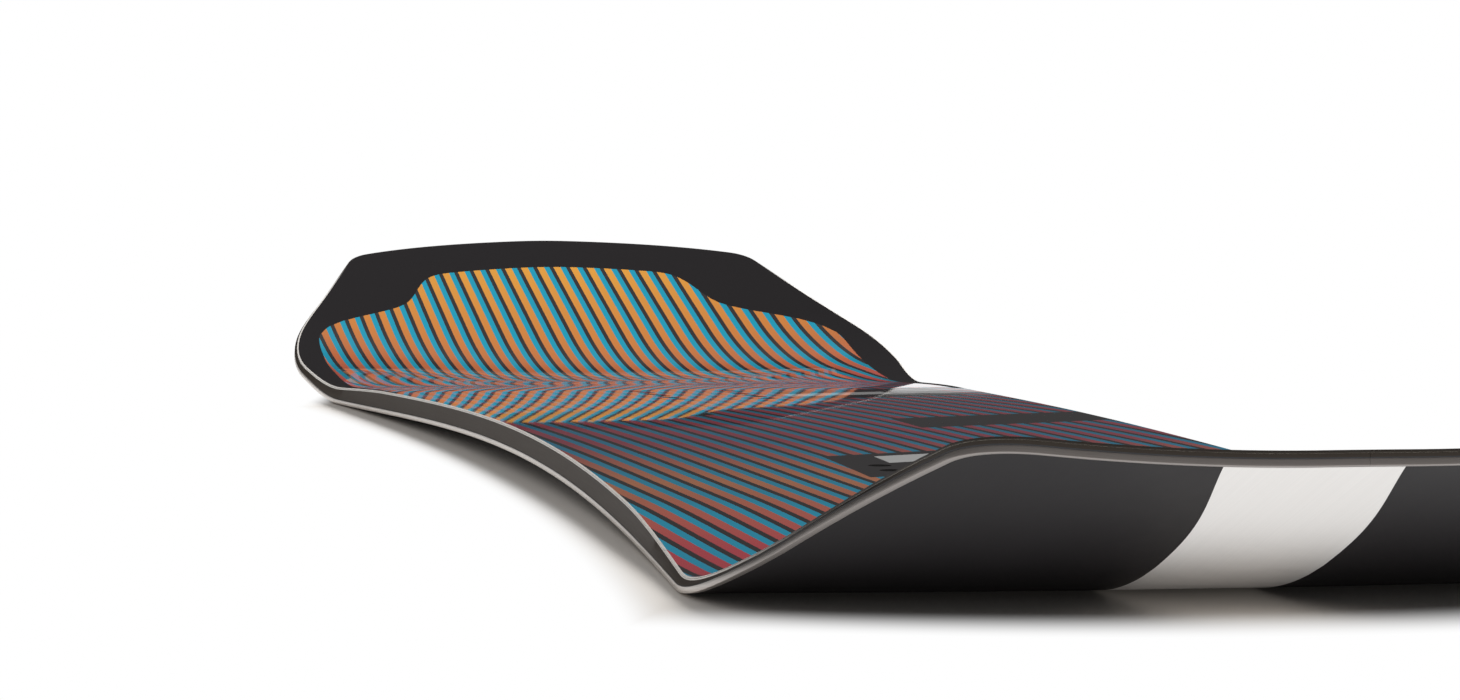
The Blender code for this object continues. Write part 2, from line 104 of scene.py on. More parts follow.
# Plain blocks: middle along and half length, middle across and half width, colour
PRINT_BLOCKS = (
    (-0.11, 0.032, -0.075, 0.045, "ground"), (-0.23, 0.045, 0.075, 0.04, "ground"),
    (-0.23, 0.014, 0.06, 0.025, "pale"), (0.02, 0.03, 0.085, 0.05, "ground"),
    (0.203, 0.044, 0.012, 0.045, "ground"), (0.184, 0.014, 0.008, 0.022, "pale"),
)
# Two strands of the glass cloth
ROVING_PITCH = 0.0016
# Where things change along the board, from one place to the other: painted shade on the steel, the
# topsheet's rim and the sidewall, the print's sides, and the floor's shadow zone at the nose
STEEL_PAINTED_SHADE = (0.54, 0.63)
RIM_PAINTED_SHADE = ((0.57, 0.66), (-0.66, -0.71))
SIDEWALL_PAINTED_SHADE = (0.6, 0.68)
PRINT_RETURNS = (0.53, 0.6)
# Where the floor's shadow zone draws in at the nose: painted light that takes away the nose's shadow beside
# the board
FLOOR_NARROWS = (-0.44, -0.6)
# Upward share of a mirrored ray: where the white horizon ends, and where the dim ceiling begins
HORIZON = (0.012, 0.018)
CEILING = (0.36, 0.5)
# Lamps: name, setting of the power, size, place, aim
LAMPS = (
    ("overhead", "key_power", (1.6, 0.9), (-0.5, 1.4, 1.35), (0.0, 0.0, 0.0)),
    ("left_side", "side_power", (2.4, 1.2), (0.6, -2.2, 0.9), (0.0, 0.0, 0.0)),
    ("low_strip", "fill_power", (2.4, 0.05), (3.6, 0.3, 0.04), (0.7, 0.0, 0.03)),
)


def number(name, description, default, **form):
    return FloatProperty(name=name, description=description, default=default, **form)


def metres(name, description, default):
    return number(name, description, default, precision=5, unit="LENGTH")


def watts(name, description, default):
    return number(name, description, default, unit="POWER")


def angle(name, description, degrees):
    return number(name, description, math.radians(degrees), subtype="ANGLE")


def share(name, description, default):
    return number(name, description, default, min=0, max=1, subtype="FACTOR")


def triple(name, description, default, **form):
    return FloatVectorProperty(name=name, description=description, default=default, size=3, **form)


def colour(name, description, *default):
    return triple(name, description, default, min=0, max=1, subtype="COLOR")


class BoardPlan(bpy.types.PropertyGroup):
    """Sizes of the whole board"""

    length: metres("Length", "From tip to tip", cad_box[1].x - cad_box[0].x)
    waist_width: metres("Waist width", "Narrowest width, at the middle", 0.249)
    tip_width: metres("Tip width", "Width at the widest places", 0.299)
    widest_to_end: metres("Widest to end", "From the widest place to the tip's end", 0.222)
    camber_height: metres("Camber", "Height of the middle over the floor", 0.0069)
    contact_to_end: metres("Contact to end", "From where the base rests to the tip's end", 0.223)
    rest_length: metres("Rest length", "Length of each flat that the board rests on", 0.02)
    spoon_flat_half: metres("Spoon flat", "Half the width that the lifted corners leave level", 0.012)
    middle_thickness: metres("Middle thickness", "Thickness between the feet", 0.0098)
    tip_thickness: metres("Tip thickness", "Thickness at the tips", 0.0044)
    taper_length: metres("Taper length", "Length over which the board thins", 0.28)
    thin_end_length: metres("Thin end", "Length of the evenly thin end", 0.144)


# Sizes of the tips: kind, name, description, default at the nose, default at the tail
TIP_SIZES = {
    "shoulder_radius": (metres, "Shoulder radius", "Radius at the widest place", 0.24, 0.235),
    "shoulder_angle": (angle, "Shoulder angle", "How far the side turns in before its corner", 21.3, 16.0),
    "corner_radius": (metres, "Corner radius", "Radius of the blunt tip's corners", 0.0315, 0.028),
    "crown_radius": (metres, "Crown radius", "Radius of the tip's end", 0.17, 0.59),
    "kick_radius": (metres, "Kick radius", "Radius of the upward bend", 0.262, 0.32),
    "kick_angle": (angle, "Kick angle", "Slope of the tip", 21.6, 17.1),
    "spoon_radius": (metres, "Spoon radius", "Radius of the lift towards the edges", 0.583, 0.481),
    "spoon_to_end": (metres, "Spoon to end", "From where the edges begin to lift to the end", 0.305, 0.226),
    "spoon_length": (metres, "Spoon length", "Length over which the lift grows", 0.168, 0.255),
}


def tip_sizes(tip):
    """Properties of the nose, tip 0, or the tail, tip 1."""
    rows = TIP_SIZES.items()
    return {field: kind(name, text, defaults[tip]) for field, (kind, name, text, *defaults) in rows}


class NosePlan(bpy.types.PropertyGroup):
    """Sizes of the nose"""

    __annotations__ = tip_sizes(0)


class TailPlan(bpy.types.PropertyGroup):
    """Sizes of the tail"""

    __annotations__ = tip_sizes(1)


class LayerSizes(bpy.types.PropertyGroup):
    """Thicknesses and widths of the layers"""

    base_sheet: metres("Base sheet", "Thickness of the sintered base", 0.0011)
    edge_width: metres("Edge width", "Width of the steel bar seen from below", 0.002)
    edge_height: metres("Edge height", "Height of the steel bar", 0.0020)
    edge_corner: metres("Edge corner", "Rounding of the steel bar's corners", 0.00014)
    flange_reach: metres("Flange reach", "How far the edge's flange runs in under the core", 0.0063)
    flange: metres("Flange", "Thickness of the edge's flange", 0.00035)
    flange_drop: number("Flange drop", "From bar's top to flange's middle, in flange thicknesses", 0.55)
    lower_glass_bottom: metres("Lower glass bottom", "Height of the lower fibreglass over the base", 0.0013)
    glass: metres("Fibreglass", "Thickness of each fibreglass sheet", 0.00035)
    topsheet: metres("Topsheet", "Thickness of the printed film", 0.00045)
    bond: metres("Bond", "Thickness of a bond line", 0.0002)
    cut_edge: metres("Cut edge", "Width of the ground slope round the topsheet", 0.0007)
    set_back: metres("Set back", "How far the sidewall stands in from the steel", 0.0002)
    sidewall: metres("Sidewall", "Width of the sidewall", 0.008)
    sidewall_bottom: metres("Sidewall bottom", "Height of the sidewall over the base", 0.0023)
    lean: metres("Lean", "How far the sidewall leans in from its foot to its head", 0.0012)
    lean_to_end: metres("Lean to end", "From where the sidewall stands upright to the tip's end", 0.034)
    lean_fade: metres("Lean fade", "Length over which the lean fades out", 0.08)
    sidewall_arris: metres("Sidewall arris", "Width of the sidewall's broken corner", 0.00012)
    seam: metres("Seam", "Gap between pieces side by side", 0.0003)


class BindingSizes(bpy.types.PropertyGroup):
    """Threaded inserts for the bindings"""

    stance: metres("Stance", "Distance between the two feet", 0.53)
    row_spacing: metres("Row spacing", "Distance between a foot's two rows", 0.04)
    pitch: metres("Pitch", "Distance between inserts in a row", 0.02)
    in_a_row: IntProperty(name="In a row", description="Inserts in each row", default=6, min=2)
    barrel_radius: metres("Barrel radius", "Outer radius of an insert's barrel", 0.004)
    hole_radius: metres("Hole radius", "Radius of the hole in the topsheet", 0.0043)
    bore_radius: metres("Bore radius", "Radius at the thread's crests", 0.0025)
    thread_depth: metres("Thread depth", "Depth of the thread", 0.0004)
    thread_pitch: metres("Thread pitch", "Distance between turns of the thread", 0.001)
    flange_radius: metres("Flange radius", "Radius of an insert's flange", 0.008)
    flange: metres("Flange", "Thickness of an insert's flange", 0.0008)
    floor: metres("Floor", "Thickness under the blind bore", 0.0012)
    recess: metres("Recess", "Depth of the mouth under the topsheet", 0.0003)
    bottom: metres("Bottom", "Height of the flange over the base", 0.00185)
    insert_arris: metres("Insert arris", "Width of an insert's broken corners", 0.0002)


class PrintDesign(bpy.types.PropertyGroup):
    """The topsheet's plain stripes and blocks"""

    nose_pitch: metres("Nose pitch", "Width of one warm, one cool and one dark stripe at the nose", 0.0087)
    tail_pitch: metres("Tail pitch", "Width of one warm, one cool and one dark stripe at the tail", 0.0116)
    skew: angle("Stripe skew", "How far the stripes turn from the board's length", 4.0)
    warm_share: share("Warm share", "Share of the pitch that is warm", 0.42)
    cool_share: share("Cool share", "Share of the pitch that is cool", 0.33)
    slant: angle("Block slant", "How far the blocks turn from straight across", 24.0)
    amber: colour("Amber", "Warm stripes at the nose", 0.78, 0.35, 0.045)
    orange: colour("Orange", "Warm stripes past the nose", 0.58, 0.17, 0.045)
    mulberry: colour("Mulberry", "Warm stripes between the feet", 0.40, 0.06, 0.10)
    tangerine: colour("Tangerine", "Warm stripes at the tail's foot", 0.70, 0.26, 0.12)
    crimson: colour("Crimson", "Warm stripes at the tail", 0.70, 0.075, 0.10)
    cyan: colour("Cyan", "Cool stripes at the nose", 0.003, 0.33, 0.49)
    slate: colour("Slate", "Cool stripes between the feet", 0.02, 0.24, 0.40)
    steel_blue: colour("Steel blue", "Cool stripes at the tail", 0.008, 0.44, 0.68)
    ground: colour("Ground", "Dark colour between the stripes, and dark blocks", 0.028, 0.023, 0.024)
    border: colour("Border", "Matte border round the print", 0.017, 0.015, 0.016)
    pale: colour("Pale", "Light blocks", 0.78, 0.78, 0.77)
    panel_end: metres("Panel end", "From the middle to each end of the printed panel", 0.7205)
    panel_bow: number("Panel bow", "Curve of the panel's ends", 3.4)
    shoulder_half: metres("Shoulder half width", "Half the width at the panel's shoulders", 0.1343)
    panel_shift: metres("Panel shift", "How far the panel sits off the middle", -0.0012)
    side_start: metres("Side start", "From the middle to where the print reaches the board's sides", 0.32)
    waist_draw: metres("Waist draw", "How far the panel's sides draw in up to there", 0.0085)
    draw_length: metres("Draw length", "Length over which they draw in", 0.24)
    spread: metres("Spread", "How far they then spread past the board's sides", 0.03)
    spread_length: metres("Spread length", "Length over which they spread", 0.05)
    corner_blend: metres("Corner blend", "Softness of the panel's corners", 0.012)
    gradient_end: metres("Gradient end", "From the middle to where the stripes stop changing", 0.64)
    gloss: share("Gloss roughness", "Roughness of the printed panel", 0.02)
    matte: share("Matte roughness", "Roughness of the border", 0.5)


class LayerColours(bpy.types.PropertyGroup):
    """Colours of the other layers"""

    cut_edge: colour("Cut edge", "Ground edges of the topsheet and glass", 0.86, 0.82, 0.77)
    fibreglass: colour("Fibreglass", "Resin-wetted glass", 0.52, 0.49, 0.41)
    sidewall: colour("Sidewall", "Ground plastic of the sidewalls", 0.068, 0.053, 0.041)
    steel: colour("Steel", "Ground steel of the edges", 0.80, 0.735, 0.68)
    # Darker colour of the steel round the tail: painted shade
    dull_steel: colour("Dull steel", "Steel round the tail", 0.285, 0.255, 0.237)
    base_black: colour("Base black", "Black base", 0.020, 0.0185, 0.0195)
    base_white: colour("Base white", "White band of the base", 0.76, 0.74, 0.72)
    insert: colour("Insert", "Dark steel of the inserts", 0.12, 0.117, 0.115)
    spacer: colour("Spacer", "Plastic of the tip spacers", 0.045, 0.045, 0.048)
    rubber: colour("Rubber", "Damping strips", 0.03, 0.03, 0.032)
    beech: colour("Beech", "Darkest wood of the core", 0.50, 0.31, 0.17)
    poplar: colour("Poplar", "Middle wood of the core", 0.66, 0.50, 0.32)
    paulownia: colour("Paulownia", "Palest wood of the core", 0.76, 0.63, 0.45)


class BandSizes(bpy.types.PropertyGroup):
    """White band let into the base"""

    width: metres("Width", "Width of the band", 0.05)
    y_at_contact: metres("Offset", "Sideways place of its middle at the tail contact", 0.0012)
    skew: angle("Skew", "Turn from the board's length", -4.4)
    bow: metres("Bow", "How far the band bows to the right in the tail's bend", 0.0066)
    bow_to_end: metres("Bow to end", "From the middle of the bow to the tail's end", 0.082)
    bow_reach: metres("Bow reach", "Half the length of the bow", 0.110)


class StudioSettings(bpy.types.PropertyGroup):
    """Floor, lamps and camera"""

    floor_size: metres("Floor size", "Side of the floor", 60.0)
    floor_drop: metres("Floor drop", "Gap under the board's contact", 0.0002)
    # The floor keeps the board's shadow only within this zone. Past it the floor glows plain white, painted
    # light that also covers the shadow under both tips
    shade_length: metres("Shade length", "Length of the floor that takes the board's shadow", 1.144)
    shade_shift: metres("Shade shift", "How far that floor reaches towards the tail", 0.053)
    shade_width: metres("Shade width", "Width of that floor at the board's middle", 0.260)
    shade_flare: number("Shade flare", "How that floor widens to the ends", 0.088)
    end_fade: metres("End fade", "Distance over which the floor turns plain white past the ends", 0.08)
    end_bow: number("End bow", "Curve of that floor's ends", 1.8)
    nose_narrowing: metres("Nose narrowing", "How far that floor draws in at the nose", 0.05)
    side_fade: metres("Side fade", "Distance over which the floor turns plain white past the sides", 0.017)
    # Floor colour within the shadow zone, darker and warmer than the white round it: painted shade that
    # deepens the board's shadow
    floor_painted_shade_colour: colour("Floor", "Pale floor", 0.86, 0.815, 0.765)
    sky_level: number("Sky level", "Even light from all round", 0.32)
    key_power: watts("Key power", "Lamp over the right side", 50.0)
    side_power: watts("Side power", "Lamp on the left", 1.0)
    fill_power: watts("Fill power", "Low strip past the tail", 36.0)
    focal_pixels: number("Focal length", "In pixels of the photo", 5600.0)
    photo_width: IntProperty(name="Photo width", description="In pixels", default=1460)
    camera: triple("Camera", "Camera's place", (2.18724, -0.43539, 0.15239), subtype="TRANSLATION")
    yaw: number("Yaw", "Turn from -X towards +Y", 0.1808, subtype="ANGLE")
    pitch: number("Pitch", "Downward tilt", 0.0477, subtype="ANGLE")
    roll: number("Roll", "Turn about the view", 0.0006, subtype="ANGLE")


GROUPS = {
    "board_plan": BoardPlan,
    "board_nose": NosePlan,
    "board_tail": TailPlan,
    "board_layers": LayerSizes,
    "board_bindings": BindingSizes,
    "board_print": PrintDesign,
    "board_colours": LayerColours,
    "board_band": BandSizes,
    "board_studio": StudioSettings,
}


def smooth(value):
    """Soft step from 0 to 1."""
    value = np.clip(value, 0.0, 1.0)
    return value * value * (3 - 2 * value)


def direction(turn):
    """Unit vector in the plan view, measured from +Y towards the tip."""
    return np.array((math.sin(turn), math.cos(turn)))


def arc(centre, radius, start, end, steps):
    """Places round a centre from one turn to another."""
    return [centre + radius * direction(turn) for turn in np.linspace(start, end, steps + 1)]


class TipForm:
    """One end of the board, measured outward from its middle."""

    def __init__(self, board, tip):
        self.board = board
        self.tip = tip
        self.spoon_start = board.end - tip.spoon_to_end

    def lift(self, out, y):
        """Rise of the base past the flat that it rests on, and towards the edges."""
        kick, kick_angle = self.tip.kick_radius, self.tip.kick_angle
        beyond = np.maximum(out - self.board.kick_start, 0.0)
        arc_length = kick * math.sin(kick_angle)
        on_arc = np.minimum(beyond, arc_length)
        rise = kick - np.sqrt(kick**2 - on_arc**2) + (beyond - on_arc) * math.tan(kick_angle)
        side = np.maximum(np.abs(y) - self.board.plan.spoon_flat_half, 0.0)
        ramp = smooth((out - self.spoon_start) / self.tip.spoon_length)
        return rise + ramp * side**2 / (2 * self.tip.spoon_radius)

    def outline(self, inset):
        """Half outline from the waist to the crown's middle, as places (out, half width)."""
        plan, tip = self.board.plan, self.tip
        widest = self.board.end - plan.widest_to_end
        half_waist, half_tip = plan.waist_width / 2, plan.tip_width / 2
        deep = half_tip - half_waist
        sidecut = (widest**2 + deep**2) / (2 * deep)
        flare = math.asin(widest / sidecut)
        centre = np.array((0.0, half_waist + sidecut))
        turns = np.linspace(0, flare, SIDECUT_STEPS + 1)[:-1]
        points = [centre + (sidecut + inset) * np.array((math.sin(t), -math.cos(t))) for t in turns]

        shoulder, bend = tip.shoulder_radius, tip.shoulder_angle
        shoulder_centre = np.array((widest, half_tip)) - shoulder * direction(-flare)
        points += arc(shoulder_centre, shoulder - inset, -flare, bend, SHOULDER_STEPS)

        crown_centre = np.array((self.board.end - tip.crown_radius, 0.0))
        along = np.array((math.cos(bend), -math.sin(bend)))
        first_corner = shoulder_centre + (shoulder - tip.corner_radius) * direction(bend)
        apart = first_corner - crown_centre
        half_b = apart @ along
        rest = apart @ apart - (tip.crown_radius - tip.corner_radius) ** 2
        straight = -half_b + math.sqrt(half_b**2 - rest)
        start = points[-1]
        points += [start + along * straight * i / STRAIGHT_STEPS for i in range(1, STRAIGHT_STEPS)]
        corner_centre = first_corner + straight * along
        to_corner = corner_centre - crown_centre
        turned = math.atan2(to_corner[0], to_corner[1])
        points += arc(corner_centre, tip.corner_radius - inset, bend, turned, CORNER_STEPS)
        points += arc(crown_centre, tip.crown_radius - inset, turned, math.pi / 2, CROWN_STEPS)[1:]
        return np.array(points)


class BoardForm:
    """The board's outline and side profile, from its sizes."""

    def __init__(self, scene):
        self.plan = scene.board_plan
        self.layers = scene.board_layers
        self.end = self.plan.length / 2
        contact = self.end - self.plan.contact_to_end
        self.camber_end = contact - self.plan.rest_length / 2
        self.kick_start = contact + self.plan.rest_length / 2
        self.nose = TipForm(self, scene.board_nose)
        self.tail = TipForm(self, scene.board_tail)

    def height(self, x, y):
        """Underside of the base over the floor."""
        out = np.abs(x)
        camber = self.plan.camber_height * np.maximum(1 - (out / self.camber_end) ** 2, 0.0) ** 2
        return camber + np.where(x > 0, self.tail.lift(out, y), self.nose.lift(out, y))

    def thickness(self, x):
        """Thickness of the whole board, thinned towards both tips."""
        taper_end = self.end - self.plan.thin_end_length
        taper_start = taper_end - self.plan.taper_length
        thinned = smooth((np.abs(x) - taper_start) / self.plan.taper_length)
        return self.plan.middle_thickness + (self.plan.tip_thickness - self.plan.middle_thickness) * thinned

    def over_base(self, rise):
        """A surface at one height over the underside."""
        return lambda x, y: self.height(x, y) + rise

    def under_top(self, drop):
        """A surface at one depth under the top."""
        return lambda x, y: self.height(x, y) + self.thickness(x) - drop

    def ring(self, inset, lean=0.0):
        """Columns x and half width, nose to tail, drawn in by the inset, and by the lean at the sides."""
        upright = self.offset(inset)
        lean_end = self.end - self.layers.lean_to_end
        leaning = smooth((lean_end - np.abs(upright[:, 0])) / self.layers.lean_fade)
        rows = upright + leaning[:, None] * (self.offset(inset + lean) - upright)
        rows[[0, -1], 1] = 0.0
        return rows[:, 0].copy(), rows[:, 1].copy()

    def offset(self, inset):
        """Places (x, half width) of the whole outline, drawn in by the inset."""
        nose, tail = self.nose.outline(inset), self.tail.outline(inset)
        return np.concatenate([nose[::-1] * (-1, 1), tail[1:]])


def new_piece(name, points, faces, materials):
    """A closed mesh object at the origin that rides on the board, its faces turned outwards."""
    mesh = bpy.data.meshes.new(name)
    mesh.from_pydata([tuple(map(float, p)) for p in points], [], faces)
    bm = bmesh.new()
    bm.from_mesh(mesh)
    bmesh.ops.recalc_face_normals(bm, faces=bm.faces)
    bm.to_mesh(mesh)
    bm.free()
    piece = bpy.data.objects.new(name, mesh)
    bpy.context.scene.collection.objects.link(piece)
    for material in materials:
        mesh.materials.append(material)
    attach(piece, "root")
    return piece


def laminate(name, form, profile, materials):
    """A sheet through (inset, lean, surface) levels of the whole outline, its rim in the last material."""
    points, faces, tables = [], [], []
    last = len(profile) - 1
    for k, (inset, lean, surface) in enumerate(profile):
        x, half = form.ring(inset, lean)
        across = np.linspace(-1, 1, CROSS_STEPS + 1 if k in (0, last) else 2)
        table = np.zeros((len(x), len(across)), int)
        for i in range(len(x)):
            ends = i in (0, len(x) - 1)
            y = np.zeros(1) if ends else half[i] * across
            table[i] = len(points) + (0 if ends else np.arange(len(across)))
            rise = surface(np.full(len(y), x[i]), y)
            points += list(zip(np.full(len(y), x[i]), y, rise))
        tables.append(table)
        if k in (0, last):
            for i in range(len(x) - 1):
                for j in range(len(across) - 1):
                    corners = (table[i, j], table[i + 1, j], table[i + 1, j + 1], table[i, j + 1])
                    faces.append(list(dict.fromkeys(int(c) for c in corners)))
    level = len(faces)
    for low, high in zip(tables, tables[1:]):
        for column in (0, -1):
            for i in range(len(low) - 1):
                corners = (low[i, column], low[i + 1, column], high[i + 1, column], high[i, column])
                faces.append([int(c) for c in corners])
    piece = new_piece(name, points, faces, materials)
    rim = len(materials) - 1
    piece.data.polygons.foreach_set("material_index", [0] * level + [rim] * (len(faces) - level))
    return piece


def rim_strip(name, form, side, profile, materials):
    """A strip along one side, its section closed through (inset, lean, surface) corners."""
    rails = []
    for inset, lean, surface in profile:
        x, half = form.ring(inset, lean)
        half[[0, -1]] = HALF_JOINT
        y = side * half
        rails.append(np.stack([x, y, surface(x, y)], 1))
    rows, count = len(rails[0]), len(profile)
    points = np.stack(rails, 1).reshape(-1, 3)
    faces = [list(range(count)), [(rows - 1) * count + k for k in range(count)]]
    for i in range(rows - 1):
        for k in range(count):
            after = (k + 1) % count
            corner = i * count
            faces.append([corner + k, corner + count + k, corner + count + after, corner + after])
    piece = new_piece(name, points, faces, materials)
    steps = np.linalg.norm(np.diff(rails[0], axis=0), axis=1)
    run = np.concatenate([[0.0], np.cumsum(steps)])
    add_measure(piece.data, "run", np.repeat(run, count))
    add_measure(piece.data, "rise", (np.stack(rails, 1)[:, :, 2] - rails[0][:, None, 2]).reshape(-1))
    shade(piece.data)
    return piece


def add_measure(mesh, name, values):
    """Keeps one number for each vertex, for a finish or a node tree to read."""
    attribute = mesh.attributes.new(name, "FLOAT", "POINT")
    attribute.data.foreach_set("value", np.asarray(values, np.float32))


def surface_normals(surface, x, y):
    """Upward unit normals of a surface at these places."""
    slope_x = (surface(x + SLOPE_STEP, y) - surface(x - SLOPE_STEP, y)) / (2 * SLOPE_STEP)
    slope_y = (surface(x, y + SLOPE_STEP) - surface(x, y - SLOPE_STEP)) / (2 * SLOPE_STEP)
    normal = np.stack([-slope_x, -slope_y, np.ones_like(x)], 1)
    return normal / np.linalg.norm(normal, axis=1, keepdims=True)


def read(items, field, width):
    """One property of all items as an array of rows."""
    values = np.zeros(len(items) * width, np.float32)
    items.foreach_get(field, values)
    return values.reshape(-1, width).astype(float)


def shade(mesh, low=None, high=None):
    """Smooth shading with sharp arrises. Faces along the two surfaces take their normals from them."""
    mesh.shade_smooth()
    mesh.set_sharp_from_angle(angle=SHARP_ANGLE)
    if low is None:
        return
    corners = read(mesh.corner_normals, "vector", 3)
    centres, facing = read(mesh.polygons, "center", 3), read(mesh.polygons, "normal", 3)
    totals = np.array([face.loop_total for face in mesh.polygons])
    vertices = np.array([loop.vertex_index for loop in mesh.loops])
    places = read(mesh.vertices, "co", 3)[vertices]
    for surface, sign in ((low, -1), (high, 1)):
        along = sign * (surface_normals(surface, centres[:, 0], centres[:, 1]) * facing).sum(1) > FLAT_FACE
        chosen = np.repeat(along, totals)
        corners[chosen] = sign * surface_normals(surface, places[chosen, 0], places[chosen, 1])
    mesh.normals_split_custom_set(corners.tolist())


def cut(piece, operation, cutter):
    """Applies one Boolean, and removes its cutter and the points that it leaves within an edge."""
    modifier = piece.modifiers.new(operation, "BOOLEAN")
    modifier.operation = operation
    modifier.solver = "EXACT"
    modifier.object = cutter
    settle(piece)
    bpy.data.objects.remove(cutter, do_unlink=True)
    bm = bmesh.new()
    bm.from_mesh(piece.data)
    bmesh.ops.dissolve_verts(bm, verts=[vert for vert in bm.verts if len(vert.link_edges) == 2])
    bm.to_mesh(piece.data)
    bm.free()


def settle(piece):
    """Turns the evaluated piece into its own plain mesh, without modifiers."""
    graph = bpy.context.evaluated_depsgraph_get()
    mesh = bpy.data.meshes.new_from_object(piece.evaluated_get(graph))
    piece.modifiers.clear()
    piece.data = mesh
    mesh.name = piece.name
    for i in reversed(range(len(mesh.materials))):
        if mesh.materials[i] is None:
            mesh.materials.pop(index=i)


def helper(name, bm):
    """A plain object from a bmesh: a cutter, the unit of a pattern or the floor."""
    mesh = bpy.data.meshes.new(name)
    bm.to_mesh(mesh)
    bm.free()
    made = bpy.data.objects.new(name, mesh)
    bpy.context.scene.collection.objects.link(made)
    return made


def arithmetic(operation):
    """A method that puts a value, and another where there is one, through a Math node."""
    return lambda value, *others: value.nodes.math(operation, value, *others)


class Value:
    """An output in a node tree. Arithmetic and comparisons with it add Math nodes."""

    def __init__(self, nodes, socket):
        self.nodes = nodes
        self.socket = socket

    __add__ = arithmetic("ADD")
    __sub__ = arithmetic("SUBTRACT")
    __mul__ = arithmetic("MULTIPLY")
    __truediv__ = arithmetic("DIVIDE")
    __lt__ = arithmetic("LESS_THAN")
    __gt__ = arithmetic("GREATER_THAN")
    __abs__ = arithmetic("ABSOLUTE")

    def __rsub__(self, first):
        return self.nodes.math("SUBTRACT", first, self)

    def range(self, low, high, to_low=0.0, to_high=1.0, kind="LINEAR"):
        """Maps low to high onto another range and stays within it."""
        inputs = dict(enumerate((self, low, high, to_low, to_high)))
        return self.nodes.value("ShaderNodeMapRange", inputs, interpolation_type=kind)

    def ease(self, *limits):
        """Like range, with a soft start and end."""
        return self.range(*limits, kind="SMOOTHSTEP")


class Nodes:
    """A node tree with short calls for what the finishes, the sweeps and the studio use."""

    def __init__(self, tree):
        self.tree = tree

    def feed(self, socket, given):
        """Links a value or a list of them to a socket, or sets it, with a colour made opaque."""
        if isinstance(given, Value):
            given = [given]
        if isinstance(given, list):
            for value in given:
                self.tree.links.new(value.socket, socket)
        elif socket.type == "RGBA":
            socket.default_value = (*given, 1.0)
        else:
            socket.default_value = given

    def add(self, kind, inputs=None, **settings):
        """Adds a node, then its settings and inputs."""
        made = self.tree.nodes.new(kind)
        for key, setting in settings.items():
            setattr(made, key, setting)
        for key, given in (inputs or {}).items():
            self.feed(made.inputs[key], given)
        return made

    def value(self, kind, inputs=None, output=0, **settings):
        """Adds a node and gives one of its outputs."""
        return Value(self, self.add(kind, inputs, **settings).outputs[output])

    def math(self, operation, *values):
        return self.value("ShaderNodeMath", dict(enumerate(values)), operation=operation)

    def between(self, factor, first, second):
        """A number between two others."""
        return self.value("ShaderNodeMix", {0: factor, 2: first, 3: second})

    def vector(self, x=0.0, y=0.0, z=0.0):
        return self.value("ShaderNodeCombineXYZ", {0: x, 1: y, 2: z})

    def axes(self, vector):
        return [Value(self, output) for output in self.add("ShaderNodeSeparateXYZ", {0: vector}).outputs]


class Finish(Nodes):
    """A node material laid out on the piece's own place."""

    def __init__(self, name):
        self.material = bpy.data.materials.new(name)
        self.material.use_nodes = True
        super().__init__(self.material.node_tree)
        self.shader = self.tree.nodes["Principled BSDF"]
        self.place = self.value("ShaderNodeTexCoord", output="Object")

    def noise(self, scale, detail, roughness=0.5, place=None):
        """Noise on the piece's place or on another, scaled evenly by a number or by one for each axis."""
        scale = scale if isinstance(scale, tuple) else (scale, scale, scale)
        place = self.value("ShaderNodeMapping", {"Vector": place or self.place, "Scale": scale})
        inputs = {"Vector": place, "Scale": 1.0, "Detail": detail, "Roughness": roughness}
        return self.value("ShaderNodeTexNoise", inputs, "Fac")

    def along_marks(self, around, run_scale, around_scale, roughness):
        """Noise drawn out along a strip, from its run and a measure across it."""
        place = self.vector(self.measure("run") * run_scale, self.measure(around) * around_scale)
        return self.noise(1.0, 4.0, roughness, place)

    def mix(self, factor, first, second):
        return self.value("ShaderNodeMix", {0: factor, 6: first, 7: second}, 2, data_type="RGBA")

    def stain(self, tint, other, mask, low, high, amount):
        """Lays another colour on a tint, none where the mask is low and this amount where it is high."""
        return self.mix(mask.range(low, high, 0.0, amount), tint, other)

    def ramp(self, value, stops):
        """Colours that follow a value through (place, colour) stops."""
        made = self.add("ShaderNodeValToRGB", {0: value})
        elements = made.color_ramp.elements
        while len(elements) < len(stops):
            elements.new(0.5)
        for element, (place, pigment) in zip(elements, stops):
            element.position = place
            element.color = (*pigment, 1.0)
        return Value(self, made.outputs[0])

    def curve(self, value, points):
        """Smooth curve through (input, output) points, both from 0 to 1."""
        made = self.add("ShaderNodeFloatCurve", {"Value": value})
        line = made.mapping.curves[0].points
        while len(line) < len(points):
            line.new(0.5, 0.5)
        for point, place in zip(line, points):
            point.location = place
        made.mapping.update()
        return Value(self, made.outputs[0])

    def bump(self, height, distance, **below):
        """Fine relief, over the Normal of another where that is given."""
        return self.value("ShaderNodeBump", {"Height": height, "Distance": distance, **below})

    def measure(self, name):
        return self.value("ShaderNodeAttribute", output="Fac", attribute_name=name)

    def set(self, **values):
        """Feeds the shader, with an underline for each space in a socket's name."""
        for key, given in values.items():
            self.feed(self.shader.inputs[key.replace("_", " ")], given)
        return self.material


def dimmed(pigment, factor):
    return tuple(component * factor for component in pigment)


